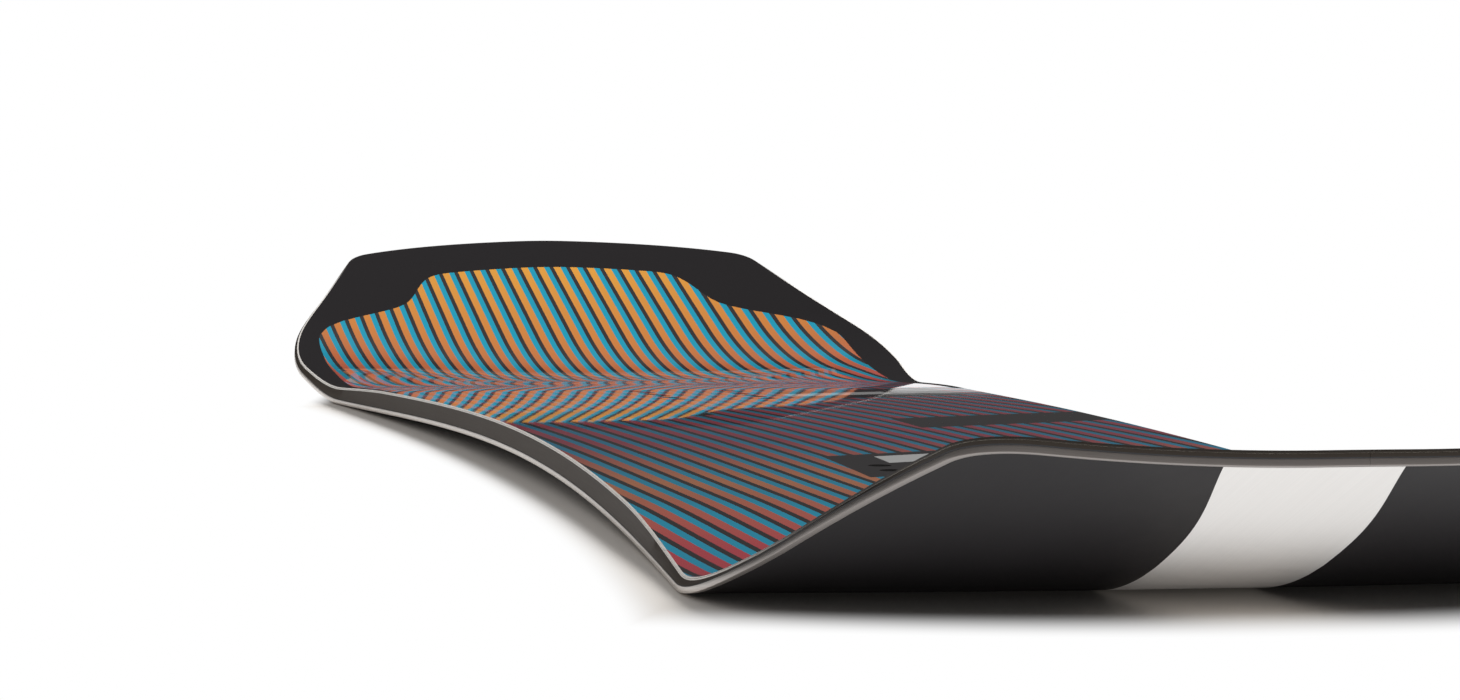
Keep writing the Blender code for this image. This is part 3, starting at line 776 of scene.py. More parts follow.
def printed_film(design):
    """Gloss printed panel of plain stripes in a matte border."""
    finish = Finish("topsheet_print")
    x, y, _ = finish.axes(finish.place)

    along = x.range(-design.panel_end, design.gradient_end)
    warm, cool = (
        finish.ramp(along, [(place, getattr(design, name)) for place, name in stops])
        for stops in (WARM_STRIPES, COOL_STRIPES)
    )
    pitch = x.range(-design.panel_end, design.gradient_end, design.nose_pitch, design.tail_pitch)
    phase = finish.math("FRACT", (y - x * math.tan(design.skew)) / pitch)
    ink = finish.mix(phase < design.warm_share + design.cool_share, design.ground, cool)
    ink = finish.mix(phase < design.warm_share, ink, warm)
    slanted = x + y * math.tan(design.slant)
    for centre, half_length, middle, half_width, name in PRINT_BLOCKS:
        lengthwise = finish.math("COMPARE", slanted, centre, half_length)
        block = lengthwise * finish.math("COMPARE", y, middle, half_width)
        ink = finish.mix(block, ink, getattr(design, name))
    tone = finish.noise(9.0, 2.0)
    ink = finish.mix(tone * 0.10, ink, design.ground)

    from_tail = x.range(design.panel_end, -design.gradient_end)
    narrower = finish.math("MINIMUM", finish.curve(along, PANEL_SIDE), finish.curve(from_tail, PANEL_SIDE))
    start, draw, spread = -design.side_start, design.waist_draw, design.spread
    drawn_in = x.range(start - design.draw_length, start, 0.0, -draw)
    released = x.range(start, start + design.spread_length, 0.0, spread)
    released = released - x.range(*PRINT_RETURNS, 0.0, spread - draw)
    past_side = abs(y - design.panel_shift) - (narrower * design.shoulder_half + (drawn_in + released))
    past_end = abs(x) + y * y * design.panel_bow - design.panel_end
    outside = finish.math("SMOOTH_MAX", past_end, past_side, design.corner_blend) > 0.0

    grain = finish.noise(2600.0, 2.0)
    haze = finish.noise((14.0, 35.0, 14.0), 4.0).range(0.35, 0.75, 0.0, 0.02)
    matte = grain.range(0.3, 0.7, design.matte - 0.05, design.matte + 0.05)
    swell = finish.bump(finish.noise(60.0, 1.0) * (1.0 - outside), 0.00001)
    shine = outside * -0.3 + 0.5
    return finish.set(
        Base_Color=finish.mix(outside, ink, design.border),
        Roughness=finish.between(outside, haze + design.gloss, matte),
        Normal=finish.bump(grain * outside, 0.000004, Normal=swell),
        Specular_IOR_Level=shine,
    )


def ground_film_edge(colours):
    """Pale slope where the topsheet and the glass under it are ground back, with painted shade that darkens
    it round both tips.
    """
    finish = Finish("topsheet_cut_edge")
    x = finish.axes(finish.place)[0]
    scratch = finish.noise((60.0, 900.0, 2500.0), 3.0)
    tint = finish.stain(colours.cut_edge, dimmed(colours.cut_edge, 0.72), scratch, 0.35, 0.7, 0.5)
    # Painted shade: the pale slope turns dark round both tips
    tips = finish.math("MAXIMUM", *(x.ease(*reach) for reach in RIM_PAINTED_SHADE))
    tint = finish.mix(tips, tint, dimmed(colours.sidewall, 0.4))
    relief = finish.bump(scratch, 0.00001)
    return finish.set(Base_Color=tint, Roughness=0.45, Normal=relief, Specular_IOR_Level=0.25)


def woven_glass(colours):
    """Resin-wetted glass cloth, two sets of rovings at right angles."""
    finish = Finish("fibreglass")
    glass, rovings = colours.fibreglass, 2 * math.pi / ROVING_PITCH
    x, y, _ = finish.axes(finish.place)
    weave = finish.math("SINE", x * rovings) * finish.math("SINE", y * rovings)
    tint = finish.stain(glass, dimmed(glass, 0.7), weave, -1.0, 1.0, 0.35)
    tint = finish.stain(tint, dimmed(glass, 1.15), finish.noise(24.0, 3.0), 0.3, 0.7, 0.3)
    return finish.set(Base_Color=tint, Roughness=0.4, Normal=finish.bump(weave, 0.00003))


def ground_sidewall(colours):
    """Dark plastic with the fine lengthwise marks of the sidewall planer, and painted shade that darkens it
    towards the tail's end.
    """
    finish = Finish("sidewall_abs")
    plastic, x = colours.sidewall, finish.axes(finish.place)[0]
    marks = finish.along_marks("rise", 22.0, 5200.0, 0.6)
    tint = finish.stain(plastic, dimmed(plastic, 1.35), marks, 0.3, 0.75, 0.35)
    tint = finish.stain(tint, dimmed(plastic, 0.6), finish.noise(1500.0, 2.0), 0.55, 0.8, 0.4)
    # Painted shade: much darker towards the tail's end
    tint = finish.stain(tint, dimmed(plastic, 0.2), x, *SIDEWALL_PAINTED_SHADE, 0.7)
    roughness = marks.range(0.2, 0.8, 0.5, 0.62)
    relief = finish.bump(marks, 0.000012)
    return finish.set(Base_Color=tint, Roughness=roughness, Normal=relief, Specular_IOR_Level=0.2)


def ground_steel(colours):
    """Hardened edge steel, ground and polished along its length, with painted shade that darkens it round
    the tail.
    """
    finish = Finish("edge_steel")
    x = finish.axes(finish.place)[0]
    streaks = finish.along_marks("around", 30.0, 9000.0, 0.65)
    # Painted shade: the steel turns to the darker colour round the tail
    steel_with_painted_shade = finish.mix(x.ease(*STEEL_PAINTED_SHADE), colours.steel, colours.dull_steel)
    worn = finish.mix(0.35, steel_with_painted_shade, (0.0, 0.0, 0.0))
    tint = finish.stain(steel_with_painted_shade, worn, streaks, 0.3, 0.7, 0.5)
    tint = finish.stain(tint, worn, finish.noise(38.0, 3.0), 0.55, 0.8, 0.2)
    roughness = streaks.range(0.25, 0.75, 0.26, 0.4)
    relief = finish.bump(streaks, 0.000006)
    return finish.set(Base_Color=tint, Metallic=0.6, Roughness=roughness, Normal=relief)


def sintered_base(name, pigment, light):
    """Waxed sintered base with the fine lengthwise structure of a stone grind."""
    finish = Finish(name)
    structure = finish.noise((7.0, 1900.0, 7.0), 3.0, 0.6)
    wax = finish.noise((11.0, 24.2, 11.0), 4.0)
    tint = finish.stain(pigment, dimmed(pigment, light), wax, 0.35, 0.75, 0.5)
    tint = finish.stain(tint, dimmed(pigment, 0.85), structure, 0.3, 0.7, 0.25)
    roughness = wax.range(0.3, 0.75, 0.32, 0.42)
    relief = finish.bump(structure * finish.noise((90.0, 700.0, 30.0), 2.0), 0.00001)
    return finish.set(Base_Color=tint, Roughness=roughness, Normal=relief, Specular_IOR_Level=0.02)


def turned_steel(colours):
    """Stainless steel with the rings that a lathe leaves."""
    finish = Finish("insert_stainless")
    rings = finish.noise((40.0, 40.0, 6000.0), 2.0)
    tint = finish.stain(colours.insert, dimmed(colours.insert, 0.7), rings, 0.3, 0.7, 0.4)
    return finish.set(Base_Color=tint, Metallic=1.0, Roughness=0.5, Normal=finish.bump(rings, 0.000005))


def moulded(name, pigment, roughness, fineness):
    """Plain plastic or rubber with a moulded grain."""
    finish = Finish(name)
    grain = finish.noise(fineness, 3.0)
    tint = finish.stain(pigment, dimmed(pigment, 1.4), grain, 0.35, 0.7, 0.5)
    uneven = grain.range(0.3, 0.7, roughness - 0.06, roughness + 0.06)
    return finish.set(Base_Color=tint, Roughness=uneven, Normal=finish.bump(grain, 0.00002))


def planed_wood(name, pigment, ring_pitch):
    """Quarter-sawn strip: long grain lines, soft year rings and short pores."""
    finish = Finish(name)
    _, y, z = finish.axes(finish.place)
    drift = finish.noise((1.76, 11.0, 11.0), 3.0)
    depth = drift * 0.018 + (y + z * 0.4)
    rings = finish.math("PINGPONG", depth, ring_pitch).ease(0.0, ring_pitch)
    fibres = finish.noise((9.0, 800.0, 800.0), 4.0, 0.6)
    tint = finish.mix(rings * 0.45, pigment, dimmed(pigment, 0.68))
    tint = finish.stain(tint, dimmed(pigment, 0.82), fibres, 0.35, 0.75, 0.35)
    pores = finish.noise((70.0, 1600.0, 1600.0), 2.0)
    tint = finish.stain(tint, dimmed(pigment, 0.45), pores, 0.66, 0.76, 0.6)
    return finish.set(Base_Color=tint, Roughness=0.62, Normal=finish.bump(fibres, 0.00003))


def replace_sheet(node, ending, form, profile, materials, slot, operation=None, cutter=None):
    """Puts a sheet in a node's place, cut where a cutter is given, with the normals of its two surfaces."""
    sheet = laminate(f"{node}_{ending}", form, profile, materials)
    if cutter:
        cut(sheet, operation, cutter)
    shade(sheet.data, profile[0][2], profile[-1][2])
    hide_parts(node)


def hole_cutter(bindings):
    """Upright cylinders over every insert, in one helper."""
    bm = bmesh.new()
    radius, middle_column = bindings.hole_radius, (bindings.in_a_row - 1) / 2
    for foot, row in ((-1, -1), (-1, 1), (1, -1), (1, 1)):
        for column in range(bindings.in_a_row):
            x = foot * bindings.stance / 2 + (column - middle_column) * bindings.pitch
            place = Matrix.Translation((x, row * bindings.row_spacing / 2, 0))
            bmesh.ops.create_cone(
                bm, cap_ends=True, segments=HOLE_STEPS, radius1=radius, radius2=radius, depth=CUTTER_DEPTH,
                matrix=place,
            )
    return helper("insert_holes", bm)


class SNOWBOARD_OT_topsheet(bpy.types.Operator):
    """Printed gloss film with its ground edge, drilled for the binding inserts"""

    bl_idname = "snowboard.topsheet"
    bl_label = "Topsheet"

    def execute(self, context):
        scene = context.scene
        form, layers = BoardForm(scene), scene.board_layers
        rim, lean, film = layers.set_back, layers.lean, layers.topsheet
        profile = [
            (rim, lean, form.under_top(film)), (rim, lean, form.under_top(film * 2 / 3)),
            (rim + layers.cut_edge, lean, form.under_top(0.0)),
        ]
        materials = [printed_film(scene.board_print), ground_film_edge(scene.board_colours)]
        holes = hole_cutter(scene.board_bindings)
        replace_sheet("topsheet", "film", form, profile, materials, "topsheet_print", "DIFFERENCE", holes)
        return {"FINISHED"}


class SNOWBOARD_OT_fibreglass(bpy.types.Operator):
    """Two sheets of resin-wetted glass cloth, the upper one drilled for the inserts"""

    bl_idname = "snowboard.fibreglass"
    bl_label = "Fibreglass"

    def execute(self, context):
        scene = context.scene
        form, layers = BoardForm(scene), scene.board_layers
        materials = [woven_glass(scene.board_colours), ground_film_edge(scene.board_colours)]
        rim, lean, bottom = layers.set_back, layers.lean, layers.lower_glass_bottom
        upper = [
            (rim, lean, form.under_top(layers.topsheet + layers.glass + layers.bond)),
            (rim, lean, form.under_top(layers.topsheet + layers.bond / 2)),
        ]
        inset = layers.flange_reach + layers.seam
        lower = [(inset, 0.0, form.over_base(bottom)), (inset, 0.0, form.over_base(bottom + layers.glass))]
        drilled = ("DIFFERENCE", hole_cutter(scene.board_bindings))
        replace_sheet("upper_fibreglass", "cloth", form, upper, materials, "fibreglass", *drilled)
        replace_sheet("lower_fibreglass", "cloth", form, lower, materials, "fibreglass")
        return {"FINISHED"}


class SNOWBOARD_OT_sidewalls(bpy.types.Operator):
    """Ground plastic sidewalls on rubber damping strips, left and right, wrapped round both tips"""

    bl_idname = "snowboard.sidewalls"
    bl_label = "Sidewalls and damping"

    def execute(self, context):
        scene = context.scene
        form, layers, colours = BoardForm(scene), scene.board_layers, scene.board_colours
        plastic = ground_sidewall(colours)
        rubber = moulded("damping_rubber", colours.rubber, roughness=0.8, fineness=1400.0)
        depth = layers.topsheet + layers.glass + layers.bond
        foot, head = form.over_base(layers.edge_height), form.over_base(layers.sidewall_bottom)
        outer, inner, arris = layers.set_back, layers.set_back + layers.sidewall, layers.sidewall_arris
        top = form.under_top(depth)
        wall = [
            (outer, 0.0, head), (outer, layers.lean, form.under_top(depth + arris)),
            (outer + arris, layers.lean, top), (inner, 0.0, top), (inner, 0.0, head),
        ]
        strip = [(outer, 0.0, foot), (outer, 0.0, head), (inner, 0.0, head), (inner, 0.0, foot)]
        for label, side in SIDES:
            for node, name, profile, material, slot in (
                ("sidewall", "wrap", wall, plastic, "sidewall_abs"),
                ("damping_strip", "rubber", strip, rubber, "damping_rubber"),
            ):
                piece = rim_strip(f"{node}_{label}_{name}", form, side, profile, [material])
                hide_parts(f"{node}_{label}")
        return {"FINISHED"}


class SizedTree(Nodes):
    """A Geometry Nodes tree with named inputs, listed by their kind."""

    def __init__(self, name, **inputs):
        super().__init__(bpy.data.node_groups.new(name, "GeometryNodeTree"))
        face = self.tree.interface
        for kind, labels in inputs.items():
            for label in labels:
                face.new_socket(label, in_out="INPUT", socket_type=f"NodeSocket{kind}")
        face.new_socket("Geometry", in_out="OUTPUT", socket_type="NodeSocketGeometry")
        given = self.add("NodeGroupInput").outputs
        self.given = [Value(self, given[label]) for labels in inputs.values() for label in labels]

    def close(self, geometry, material):
        """Ends the tree with a plain mesh in one material."""
        whole = self.value("GeometryNodeRealizeInstances", {0: geometry})
        whole = self.value("GeometryNodeSetMaterial", {"Geometry": whole, "Material": material})
        self.add("NodeGroupOutput", {0: whole})

    def run_on(self, piece, values):
        """Puts the tree on a piece, sets its inputs by identifier and keeps the result as its mesh."""
        modifier = piece.modifiers.new(self.tree.name, "NODES")
        modifier.node_group = self.tree
        for socket in self.tree.interface.items_tree:
            if socket.in_out == "INPUT" and socket.name in values:
                modifier[socket.identifier] = values[socket.name]
        bpy.context.view_layer.update()
        settle(piece)


def edge_sweep_tree(material):
    """Sweeps a rounded bar and its flange along the edge's path, banked with the base."""
    tree = SizedTree(
        "steel_edge_sweep",
        Geometry=["Path"],
        Float=["Bar Width", "Bar Height", "Corner", "Flange Reach", "Flange", "Flange Drop"],
    )
    path, width, height, corner, flange_reach, flange, flange_drop = tree.given

    def section(across, upright, out, up, rounding=None):
        """One rectangle of the profile, its middle shifted out and up."""
        bar = tree.value("GeometryNodeCurvePrimitiveQuadrilateral", {"Width": across, "Height": upright})
        if rounding:
            inputs = {0: bar, "Radius": rounding, "Count": 2}
            bar = tree.value("GeometryNodeFilletCurve", inputs, mode="POLY")
        return tree.value("GeometryNodeTransform", {"Geometry": bar, "Translation": tree.vector(out, up)})

    def with_length(curve, name):
        """Keeps the length along a curve as a measure for the finish."""
        run = tree.value("GeometryNodeSplineParameter", output="Length")
        inputs = {"Geometry": curve, "Name": name, "Value": run}
        return tree.value("GeometryNodeStoreNamedAttribute", inputs, data_type="FLOAT", domain="POINT")

    half_width = width * 0.5
    reach = flange_reach - half_width
    bar = section(width, height, half_width, height * 0.5, corner)
    leaf = section(reach, flange, half_width + reach * 0.5, height - flange * flange_drop)
    joined = tree.value("GeometryNodeJoinGeometry", {0: [bar, leaf]})
    profile = tree.value("GeometryNodeTransform", {"Geometry": joined, "Rotation": (0, 0, math.pi)})

    path = with_length(tree.value("GeometryNodeMeshToCurve", {0: path}), "run")
    path = tree.value("GeometryNodeSetCurveNormal", {0: path}, mode="Z_UP")
    bank = tree.value("GeometryNodeInputNamedAttribute", {"Name": "bank"}, data_type="FLOAT")
    path = tree.value("GeometryNodeSetCurveTilt", {"Curve": path, "Tilt": bank})
    inputs = {"Curve": path, "Profile Curve": with_length(profile, "around"), "Fill Caps": True}
    swept = tree.value("GeometryNodeCurveToMesh", inputs)
    swept = tree.value("GeometryNodeSetShadeSmooth", {"Geometry": swept, "Shade Smooth": True})
    turn = tree.value("GeometryNodeInputMeshEdgeAngle", output="Unsigned Angle")
    arris = tree.value("FunctionNodeCompare", {0: turn, 1: ARRIS_ANGLE}, operation="GREATER_THAN")
    inputs = {"Geometry": swept, "Selection": arris, "Shade Smooth": False}
    swept = tree.value("GeometryNodeSetShadeSmooth", inputs, domain="EDGE")
    tree.close(swept, material)
    return tree


class SNOWBOARD_OT_steel_edges(bpy.types.Operator):
    """Full-wrap steel edges with their flanges, swept along the outline"""

    bl_idname = "snowboard.steel_edges"
    bl_label = "Steel edges"

    def execute(self, context):
        scene = context.scene
        form, layers = BoardForm(scene), scene.board_layers
        tree = edge_sweep_tree(ground_steel(scene.board_colours))
        values = {
            "Bar Width": layers.edge_width, "Bar Height": layers.edge_height, "Corner": layers.edge_corner,
            "Flange Reach": layers.flange_reach, "Flange": layers.flange, "Flange Drop": layers.flange_drop,
        }
        base = form.over_base(0.0)
        x, half = form.ring(0.0)
        inner_x, inner_half = form.ring(layers.edge_width)
        half[[0, -1]] = HALF_JOINT
        for label, side in SIDES:
            z = base(x, side * half)
            bank = np.arctan2(base(inner_x, side * inner_half) - z, layers.edge_width)
            # The right side runs backwards, so that its section too lies inside the outline
            order = slice(None, None, -side)
            places = np.stack([x, side * half, z], 1)[order]
            mesh = bpy.data.meshes.new("edge_path")
            mesh.from_pydata(places.tolist(), [(i, i + 1) for i in range(len(x) - 1)], [])
            add_measure(mesh, "bank", bank[order])
            edge = bpy.data.objects.new(f"steel_edge_{label}_bar", mesh)
            scene.collection.objects.link(edge)
            tree.run_on(edge, values)
            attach(edge, "root")
            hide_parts(f"steel_edge_{label}")
        return {"FINISHED"}


def band_block(form, band, start, stop):
    """A cutter that follows the white band and its bow, from one place across it to the other."""
    along = np.array([math.cos(band.skew), math.sin(band.skew)])
    across = np.array([-along[1], along[0]])
    contact = form.end - form.plan.contact_to_end
    anchor = np.array([contact, band.y_at_contact])
    bow_at, reach = form.end - band.bow_to_end, 2 * form.plan.length
    bm = bmesh.new()
    rows = []
    for x in (-reach, *np.linspace(bow_at - band.bow_reach, bow_at + band.bow_reach, BOW_STEPS), reach):
        row = [anchor + (x - contact) / along[0] * along + v * across for v in (start, stop)]
        for place in row:
            phase = min(1.0, abs(place[0] - bow_at) / band.bow_reach) * math.pi / 2
            place[1] += band.bow * math.cos(phase) ** 2
        rows.append([bm.verts.new((*place, -CUTTER_DEPTH / 2)) for place in row])
    for (low_start, low_stop), (high_start, high_stop) in zip(rows, rows[1:]):
        bm.faces.new((low_start, high_start, high_stop, low_stop))
    block = bmesh.ops.extrude_face_region(bm, geom=bm.faces[:])
    raised = [item for item in block["geom"] if isinstance(item, bmesh.types.BMVert)]
    bmesh.ops.translate(bm, verts=raised, vec=(0, 0, CUTTER_DEPTH))
    bmesh.ops.recalc_face_normals(bm, faces=bm.faces)
    return helper("band_block", bm)


class SNOWBOARD_OT_base(bpy.types.Operator):
    """Sintered base in three pieces, with the white band let in at a slant and bowed at the tail"""

    bl_idname = "snowboard.base"
    bl_label = "Base"

    def execute(self, context):
        scene = context.scene
        form, layers = BoardForm(scene), scene.board_layers
        band, colours = scene.board_band, scene.board_colours
        black = sintered_base("base_black", colours.base_black, light=1.35)
        white = sintered_base("base_white", colours.base_white, light=1.02)
        profile = [(layers.edge_width, 0.0, form.over_base(rise)) for rise in (0.0, layers.base_sheet)]
        half, far = band.width / 2, form.plan.tip_width + band.width / 2
        for node, material, slot, start, stop in (
            ("base_sheet_left", black, "base_black", -far, -half),
            ("base_white_band", white, "base_white", -half, half),
            ("base_sheet_right", black, "base_black", half, far),
        ):
            block = band_block(form, band, start, stop)
            replace_sheet(node, "ground", form, profile, [material], slot, "INTERSECT", block)
        return {"FINISHED"}


def turned_insert(form, bindings):
    """One insert about the Z axis: a flanged barrel with a chamfered mouth and the ribs of its thread."""
    top = form.plan.middle_thickness - bindings.bottom - bindings.recess
    barrel, flange, bore = bindings.barrel_radius, bindings.flange_radius, bindings.bore_radius
    root, arris = bore + bindings.thread_depth, bindings.insert_arris
    profile = [
        (0.0, 0.0), (flange - arris, 0.0), (flange, arris), (flange, bindings.flange),
        (barrel, bindings.flange), (barrel, top - arris), (barrel - arris, top),
        (root + bindings.thread_depth, top),
    ]
    z = top - bindings.thread_depth
    while z - bindings.thread_pitch > bindings.floor:
        profile += [(root, z), (bore, z - bindings.thread_pitch / 2)]
        z -= bindings.thread_pitch
    profile += [(bore, bindings.floor), (0.0, bindings.floor)]
    bm = bmesh.new()
    chain = [bm.verts.new((r, 0, height)) for r, height in profile]
    edges = [bm.edges.new(pair) for pair in zip(chain, chain[1:])]
    turn = {"axis": (0, 0, 1), "cent": (0, 0, 0), "angle": 2 * math.pi, "steps": INSERT_STEPS}
    bmesh.ops.spin(bm, geom=chain + edges, **turn)
    bmesh.ops.remove_doubles(bm, verts=bm.verts[:], dist=WELD)
    bmesh.ops.recalc_face_normals(bm, faces=bm.faces)
    return helper("turned_insert", bm)


def insert_pattern_tree(material):
    """Sets two packs of inserts, each tilted with the board under its foot."""
    tree = SizedTree(
        "binding_insert_pattern",
        Geometry=["Geometry"],
        Object=["Insert"],
        Int=["In a Row"],
        Float=["Stance", "Row Spacing", "Pitch", "Height", "Tilt"],
    )
    _, insert, in_a_row, stance, row_spacing, pitch, height, tilt = tree.given
    shape = tree.value("GeometryNodeObjectInfo", {"Object": insert}, "Geometry")
    packs = []
    for foot in (-1.0, 1.0):
        inputs = {
            "Size X": pitch * (in_a_row - 1.0), "Vertices X": in_a_row,
            "Size Y": row_spacing, "Vertices Y": 2,
        }
        grid = tree.value("GeometryNodeMeshGrid", inputs, "Mesh")
        placed = tree.value("GeometryNodeInstanceOnPoints", {"Points": grid, "Instance": shape})
        inputs = {
            "Geometry": tree.value("GeometryNodeRealizeInstances", {0: placed}),
            "Translation": tree.vector(x=stance * (foot / 2), z=height),
            "Rotation": tree.vector(y=tilt * foot),
        }
        packs.append(tree.value("GeometryNodeTransform", inputs))
    tree.close(tree.value("GeometryNodeJoinGeometry", {0: packs}), material)
    return tree


class SNOWBOARD_OT_inserts(bpy.types.Operator):
    """Threaded inserts for both bindings, set by a pattern of nodes"""

    bl_idname = "snowboard.inserts"
    bl_label = "Binding inserts"

    def execute(self, context):
        scene = context.scene
        form, bindings = BoardForm(scene), scene.board_bindings
        insert = turned_insert(form, bindings)
        middle = bindings.stance / 2
        heights = form.height(np.array((middle - SLOPE_STEP, middle, middle + SLOPE_STEP)), np.zeros(3))
        slope = (heights[2] - heights[0]) / (2 * SLOPE_STEP)
        pattern = bpy.data.objects.new("binding_inserts", bpy.data.meshes.new("binding_inserts"))
        scene.collection.objects.link(pattern)
        values = {
            "Insert": insert, "Stance": bindings.stance, "Row Spacing": bindings.row_spacing,
            "Pitch": bindings.pitch, "In a Row": bindings.in_a_row,
            "Height": float(heights[1]) + bindings.bottom, "Tilt": -math.atan(slope),
        }
        insert_pattern_tree(turned_steel(scene.board_colours)).run_on(pattern, values)
        bpy.data.objects.remove(insert, do_unlink=True)
        shade(pattern.data)
        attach(pattern, "root")
        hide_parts(*[node for node in frame["nodes"] if node.startswith("insert_")])
        return {"FINISHED"}


class SNOWBOARD_OT_inner_layers(bpy.types.Operator):
    """Wood core and tip spacers, which keep their solids and get their finishes"""

    bl_idname = "snowboard.inner_layers"
    bl_label = "Core and spacers"

    def execute(self, context):
        colours = context.scene.board_colours
        finishes = {
            "core_beech": planed_wood("core_beech", colours.beech, ring_pitch=0.0016),
            "core_poplar": planed_wood("core_poplar", colours.poplar, ring_pitch=0.0024),
            "core_paulownia": planed_wood("core_paulownia", colours.paulownia, ring_pitch=0.0036),
            "tip_spacer_abs": moulded("tip_spacer_abs", colours.spacer, roughness=0.5, fineness=900.0),
        }
        for part in frame["record"]["subparts"]:
            if part["material_slot"] in finishes:
                solid = frame["nodes"][part["node"]]
                solid.data.materials.clear()
                solid.data.materials.append(finishes[part["material_slot"]])
        return {"FINISHED"}


def backdrop_world(scene, level):
    """White for the camera, an even sky, and for gloss a white horizon under a dim ceiling."""
    world = bpy.data.worlds.new("studio")
    scene.world = world
    world.use_nodes = True
    world.node_tree.nodes.clear()
    nodes = Nodes(world.node_tree)
    camera, transmission, glossy = (
        nodes.value("ShaderNodeLightPath", output=ray)
        for ray in ("Is Camera Ray", "Is Transmission Ray", "Is Glossy Ray")
    )
    up = nodes.axes(nodes.value("ShaderNodeTexCoord", output="Generated"))[2]
    mirrored = up.ease(*HORIZON, 1.0, 0.05) + up.ease(*CEILING, 0.0, 0.1)
    lit = nodes.between(glossy, level, mirrored)
    seen = nodes.between(nodes.math("MAXIMUM", camera, transmission), lit, 1.0)
    background = nodes.value("ShaderNodeBackground", {"Color": (1.0, 1.0, 1.0), "Strength": seen})
    nodes.add("ShaderNodeOutputWorld", {0: background})


def floor_finish(studio):
    """Pale floor that keeps the board's shadow where it rests, in a darker, warmer colour that is painted
    shade, and glows plain white farther out, painted light that also covers the shadow under the tips.
    """
    finish = Finish("studio_floor")
    finish.tree.nodes.remove(finish.shader)
    x, y, _ = finish.axes(finish.place)
    side = abs(y) - x * x * studio.shade_flare + x.range(*FLOOR_NARROWS, 0.0, studio.nose_narrowing)
    from_middle = abs(x - studio.shade_shift) + y * y * studio.end_bow
    outer = finish.math(
        "MAXIMUM",
        (from_middle - studio.shade_length / 2).ease(0.0, studio.end_fade),
        (side - studio.shade_width / 2).ease(0.0, studio.side_fade),
    )
    white = (1.0, 1.0, 1.0)
    # Painted shade: the darker, warmer floor colour near the board
    pale = finish.stain(studio.floor_painted_shade_colour, white, finish.noise(400.0, 2.0), 0.3, 0.7, 0.02)
    matte = finish.value("ShaderNodeBsdfDiffuse", {"Color": pale})
    # Painted light: plain white glow past the zone, also where the tips would cast shadow
    plain = finish.value("ShaderNodeEmission", {"Color": white, "Strength": 1.0})
    below = finish.value("ShaderNodeNewGeometry", output="Backfacing")
    clear = finish.value("ShaderNodeBsdfTransparent")
    mixed = finish.value("ShaderNodeMixShader", {0: outer, 1: matte, 2: plain})
    mixed = finish.value("ShaderNodeMixShader", {0: below, 1: mixed, 2: clear})
    finish.feed(finish.tree.nodes["Material Output"].inputs["Surface"], mixed)
    return finish.material


def add_lamp(scene, name, power, size, place, aim):
    """A soft oblong lamp that gloss doesn't mirror."""
    light = bpy.data.lights.new(name, "AREA")
    light.energy = power
    light.shape = "RECTANGLE"
    light.size, light.size_y = size
    lamp = bpy.data.objects.new(name, light)
    lamp.location = place
    lamp.rotation_euler = (Vector(aim) - Vector(place)).to_track_quat("-Z", "Y").to_euler()
    lamp.visible_glossy = False
    scene.collection.objects.link(lamp)


def add_camera(scene, studio):
    """The long-lens camera that the photo was taken with."""
    data = bpy.data.cameras.new("photo_camera")
    data.sensor_fit = "HORIZONTAL"
    data.lens = data.sensor_width * studio.focal_pixels / studio.photo_width
    data.clip_start, data.clip_end = 0.05, 200.0
    camera = bpy.data.objects.new("photo_camera", data)
    scene.collection.objects.link(camera)
    yaw, pitch, roll = studio.yaw, studio.pitch, studio.roll
    ahead = Vector((-math.cos(yaw) * math.cos(pitch), math.sin(yaw) * math.cos(pitch), -math.sin(pitch)))
    right = ahead.cross(Vector((0, 0, 1))).normalized()
    up = right.cross(ahead)
    turned_right = math.cos(roll) * right + math.sin(roll) * up
    turned_up = -math.sin(roll) * right + math.cos(roll) * up
    basis = Matrix((turned_right, turned_up, -ahead)).transposed().to_4x4()
    camera.matrix_world = Matrix.Translation(studio.camera) @ basis
    scene.camera = camera


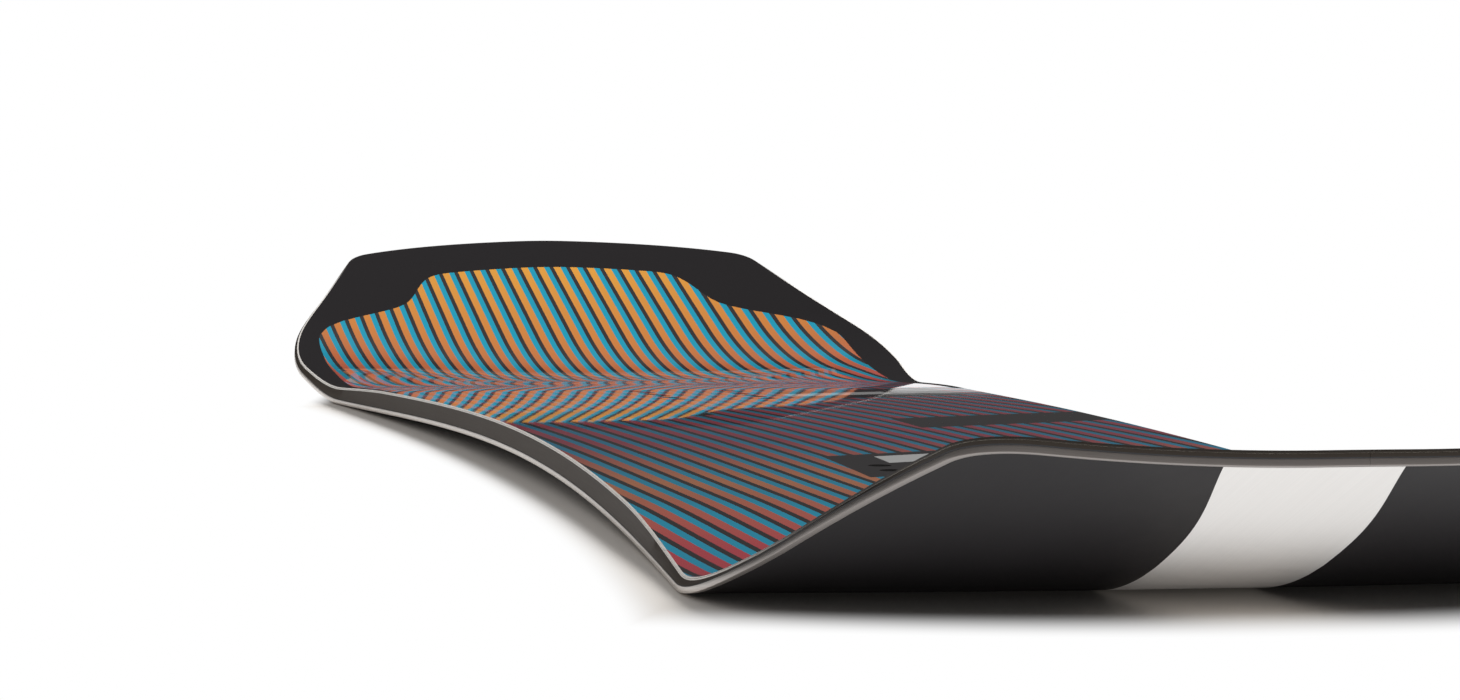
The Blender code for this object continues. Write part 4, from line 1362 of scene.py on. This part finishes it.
class SNOWBOARD_OT_studio(bpy.types.Operator):
    """Pale floor, white backdrop, soft lamps and the long-lens camera low beyond the tail"""

    bl_idname = "snowboard.studio"
    bl_label = "Studio"

    def execute(self, context):
        scene = context.scene
        studio = scene.board_studio
        half = studio.floor_size / 2
        bm = bmesh.new()
        corners = [(-half, -half), (half, -half), (half, half), (-half, half)]
        bm.faces.new([bm.verts.new((x, y, -studio.floor_drop)) for x, y in corners])
        floor = helper("studio_floor", bm)
        floor.data.materials.append(floor_finish(studio))
        backdrop_world(scene, studio.sky_level)
        for name, power, size, place, aim in LAMPS:
            add_lamp(scene, name, getattr(studio, power), size, place, aim)
        add_camera(scene, studio)
        scene.view_settings.view_transform = "Standard"
        return {"FINISHED"}


OPERATORS = (
    SNOWBOARD_OT_topsheet,
    SNOWBOARD_OT_fibreglass,
    SNOWBOARD_OT_sidewalls,
    SNOWBOARD_OT_steel_edges,
    SNOWBOARD_OT_base,
    SNOWBOARD_OT_inserts,
    SNOWBOARD_OT_inner_layers,
    SNOWBOARD_OT_studio,
)


class SNOWBOARD_PT_pieces(bpy.types.Panel):
    """Lists the board's sizes and pieces in the sidebar"""

    bl_label = "Snowboard"
    bl_space_type = "VIEW_3D"
    bl_region_type = "UI"
    bl_category = "Snowboard"

    def draw(self, context):
        for name, group in GROUPS.items():
            box = self.layout.box()
            box.label(text=group.__doc__)
            for field in group.__annotations__:
                box.prop(getattr(context.scene, name), field)
        for operator in OPERATORS:
            self.layout.operator(operator.bl_idname)


CLASSES = (*GROUPS.values(), *OPERATORS, SNOWBOARD_PT_pieces)


def register():
    for made in CLASSES:
        bpy.utils.register_class(made)
    for name, group in GROUPS.items():
        setattr(bpy.types.Scene, name, PointerProperty(type=group))


def unregister():
    for name in GROUPS:
        delattr(bpy.types.Scene, name)
    for made in reversed(CLASSES):
        bpy.utils.unregister_class(made)


def main():
    register()
    for operator in OPERATORS:
        getattr(bpy.ops.snowboard, operator.bl_idname.split(".")[1])()


if __name__ == "__main__":
    main()
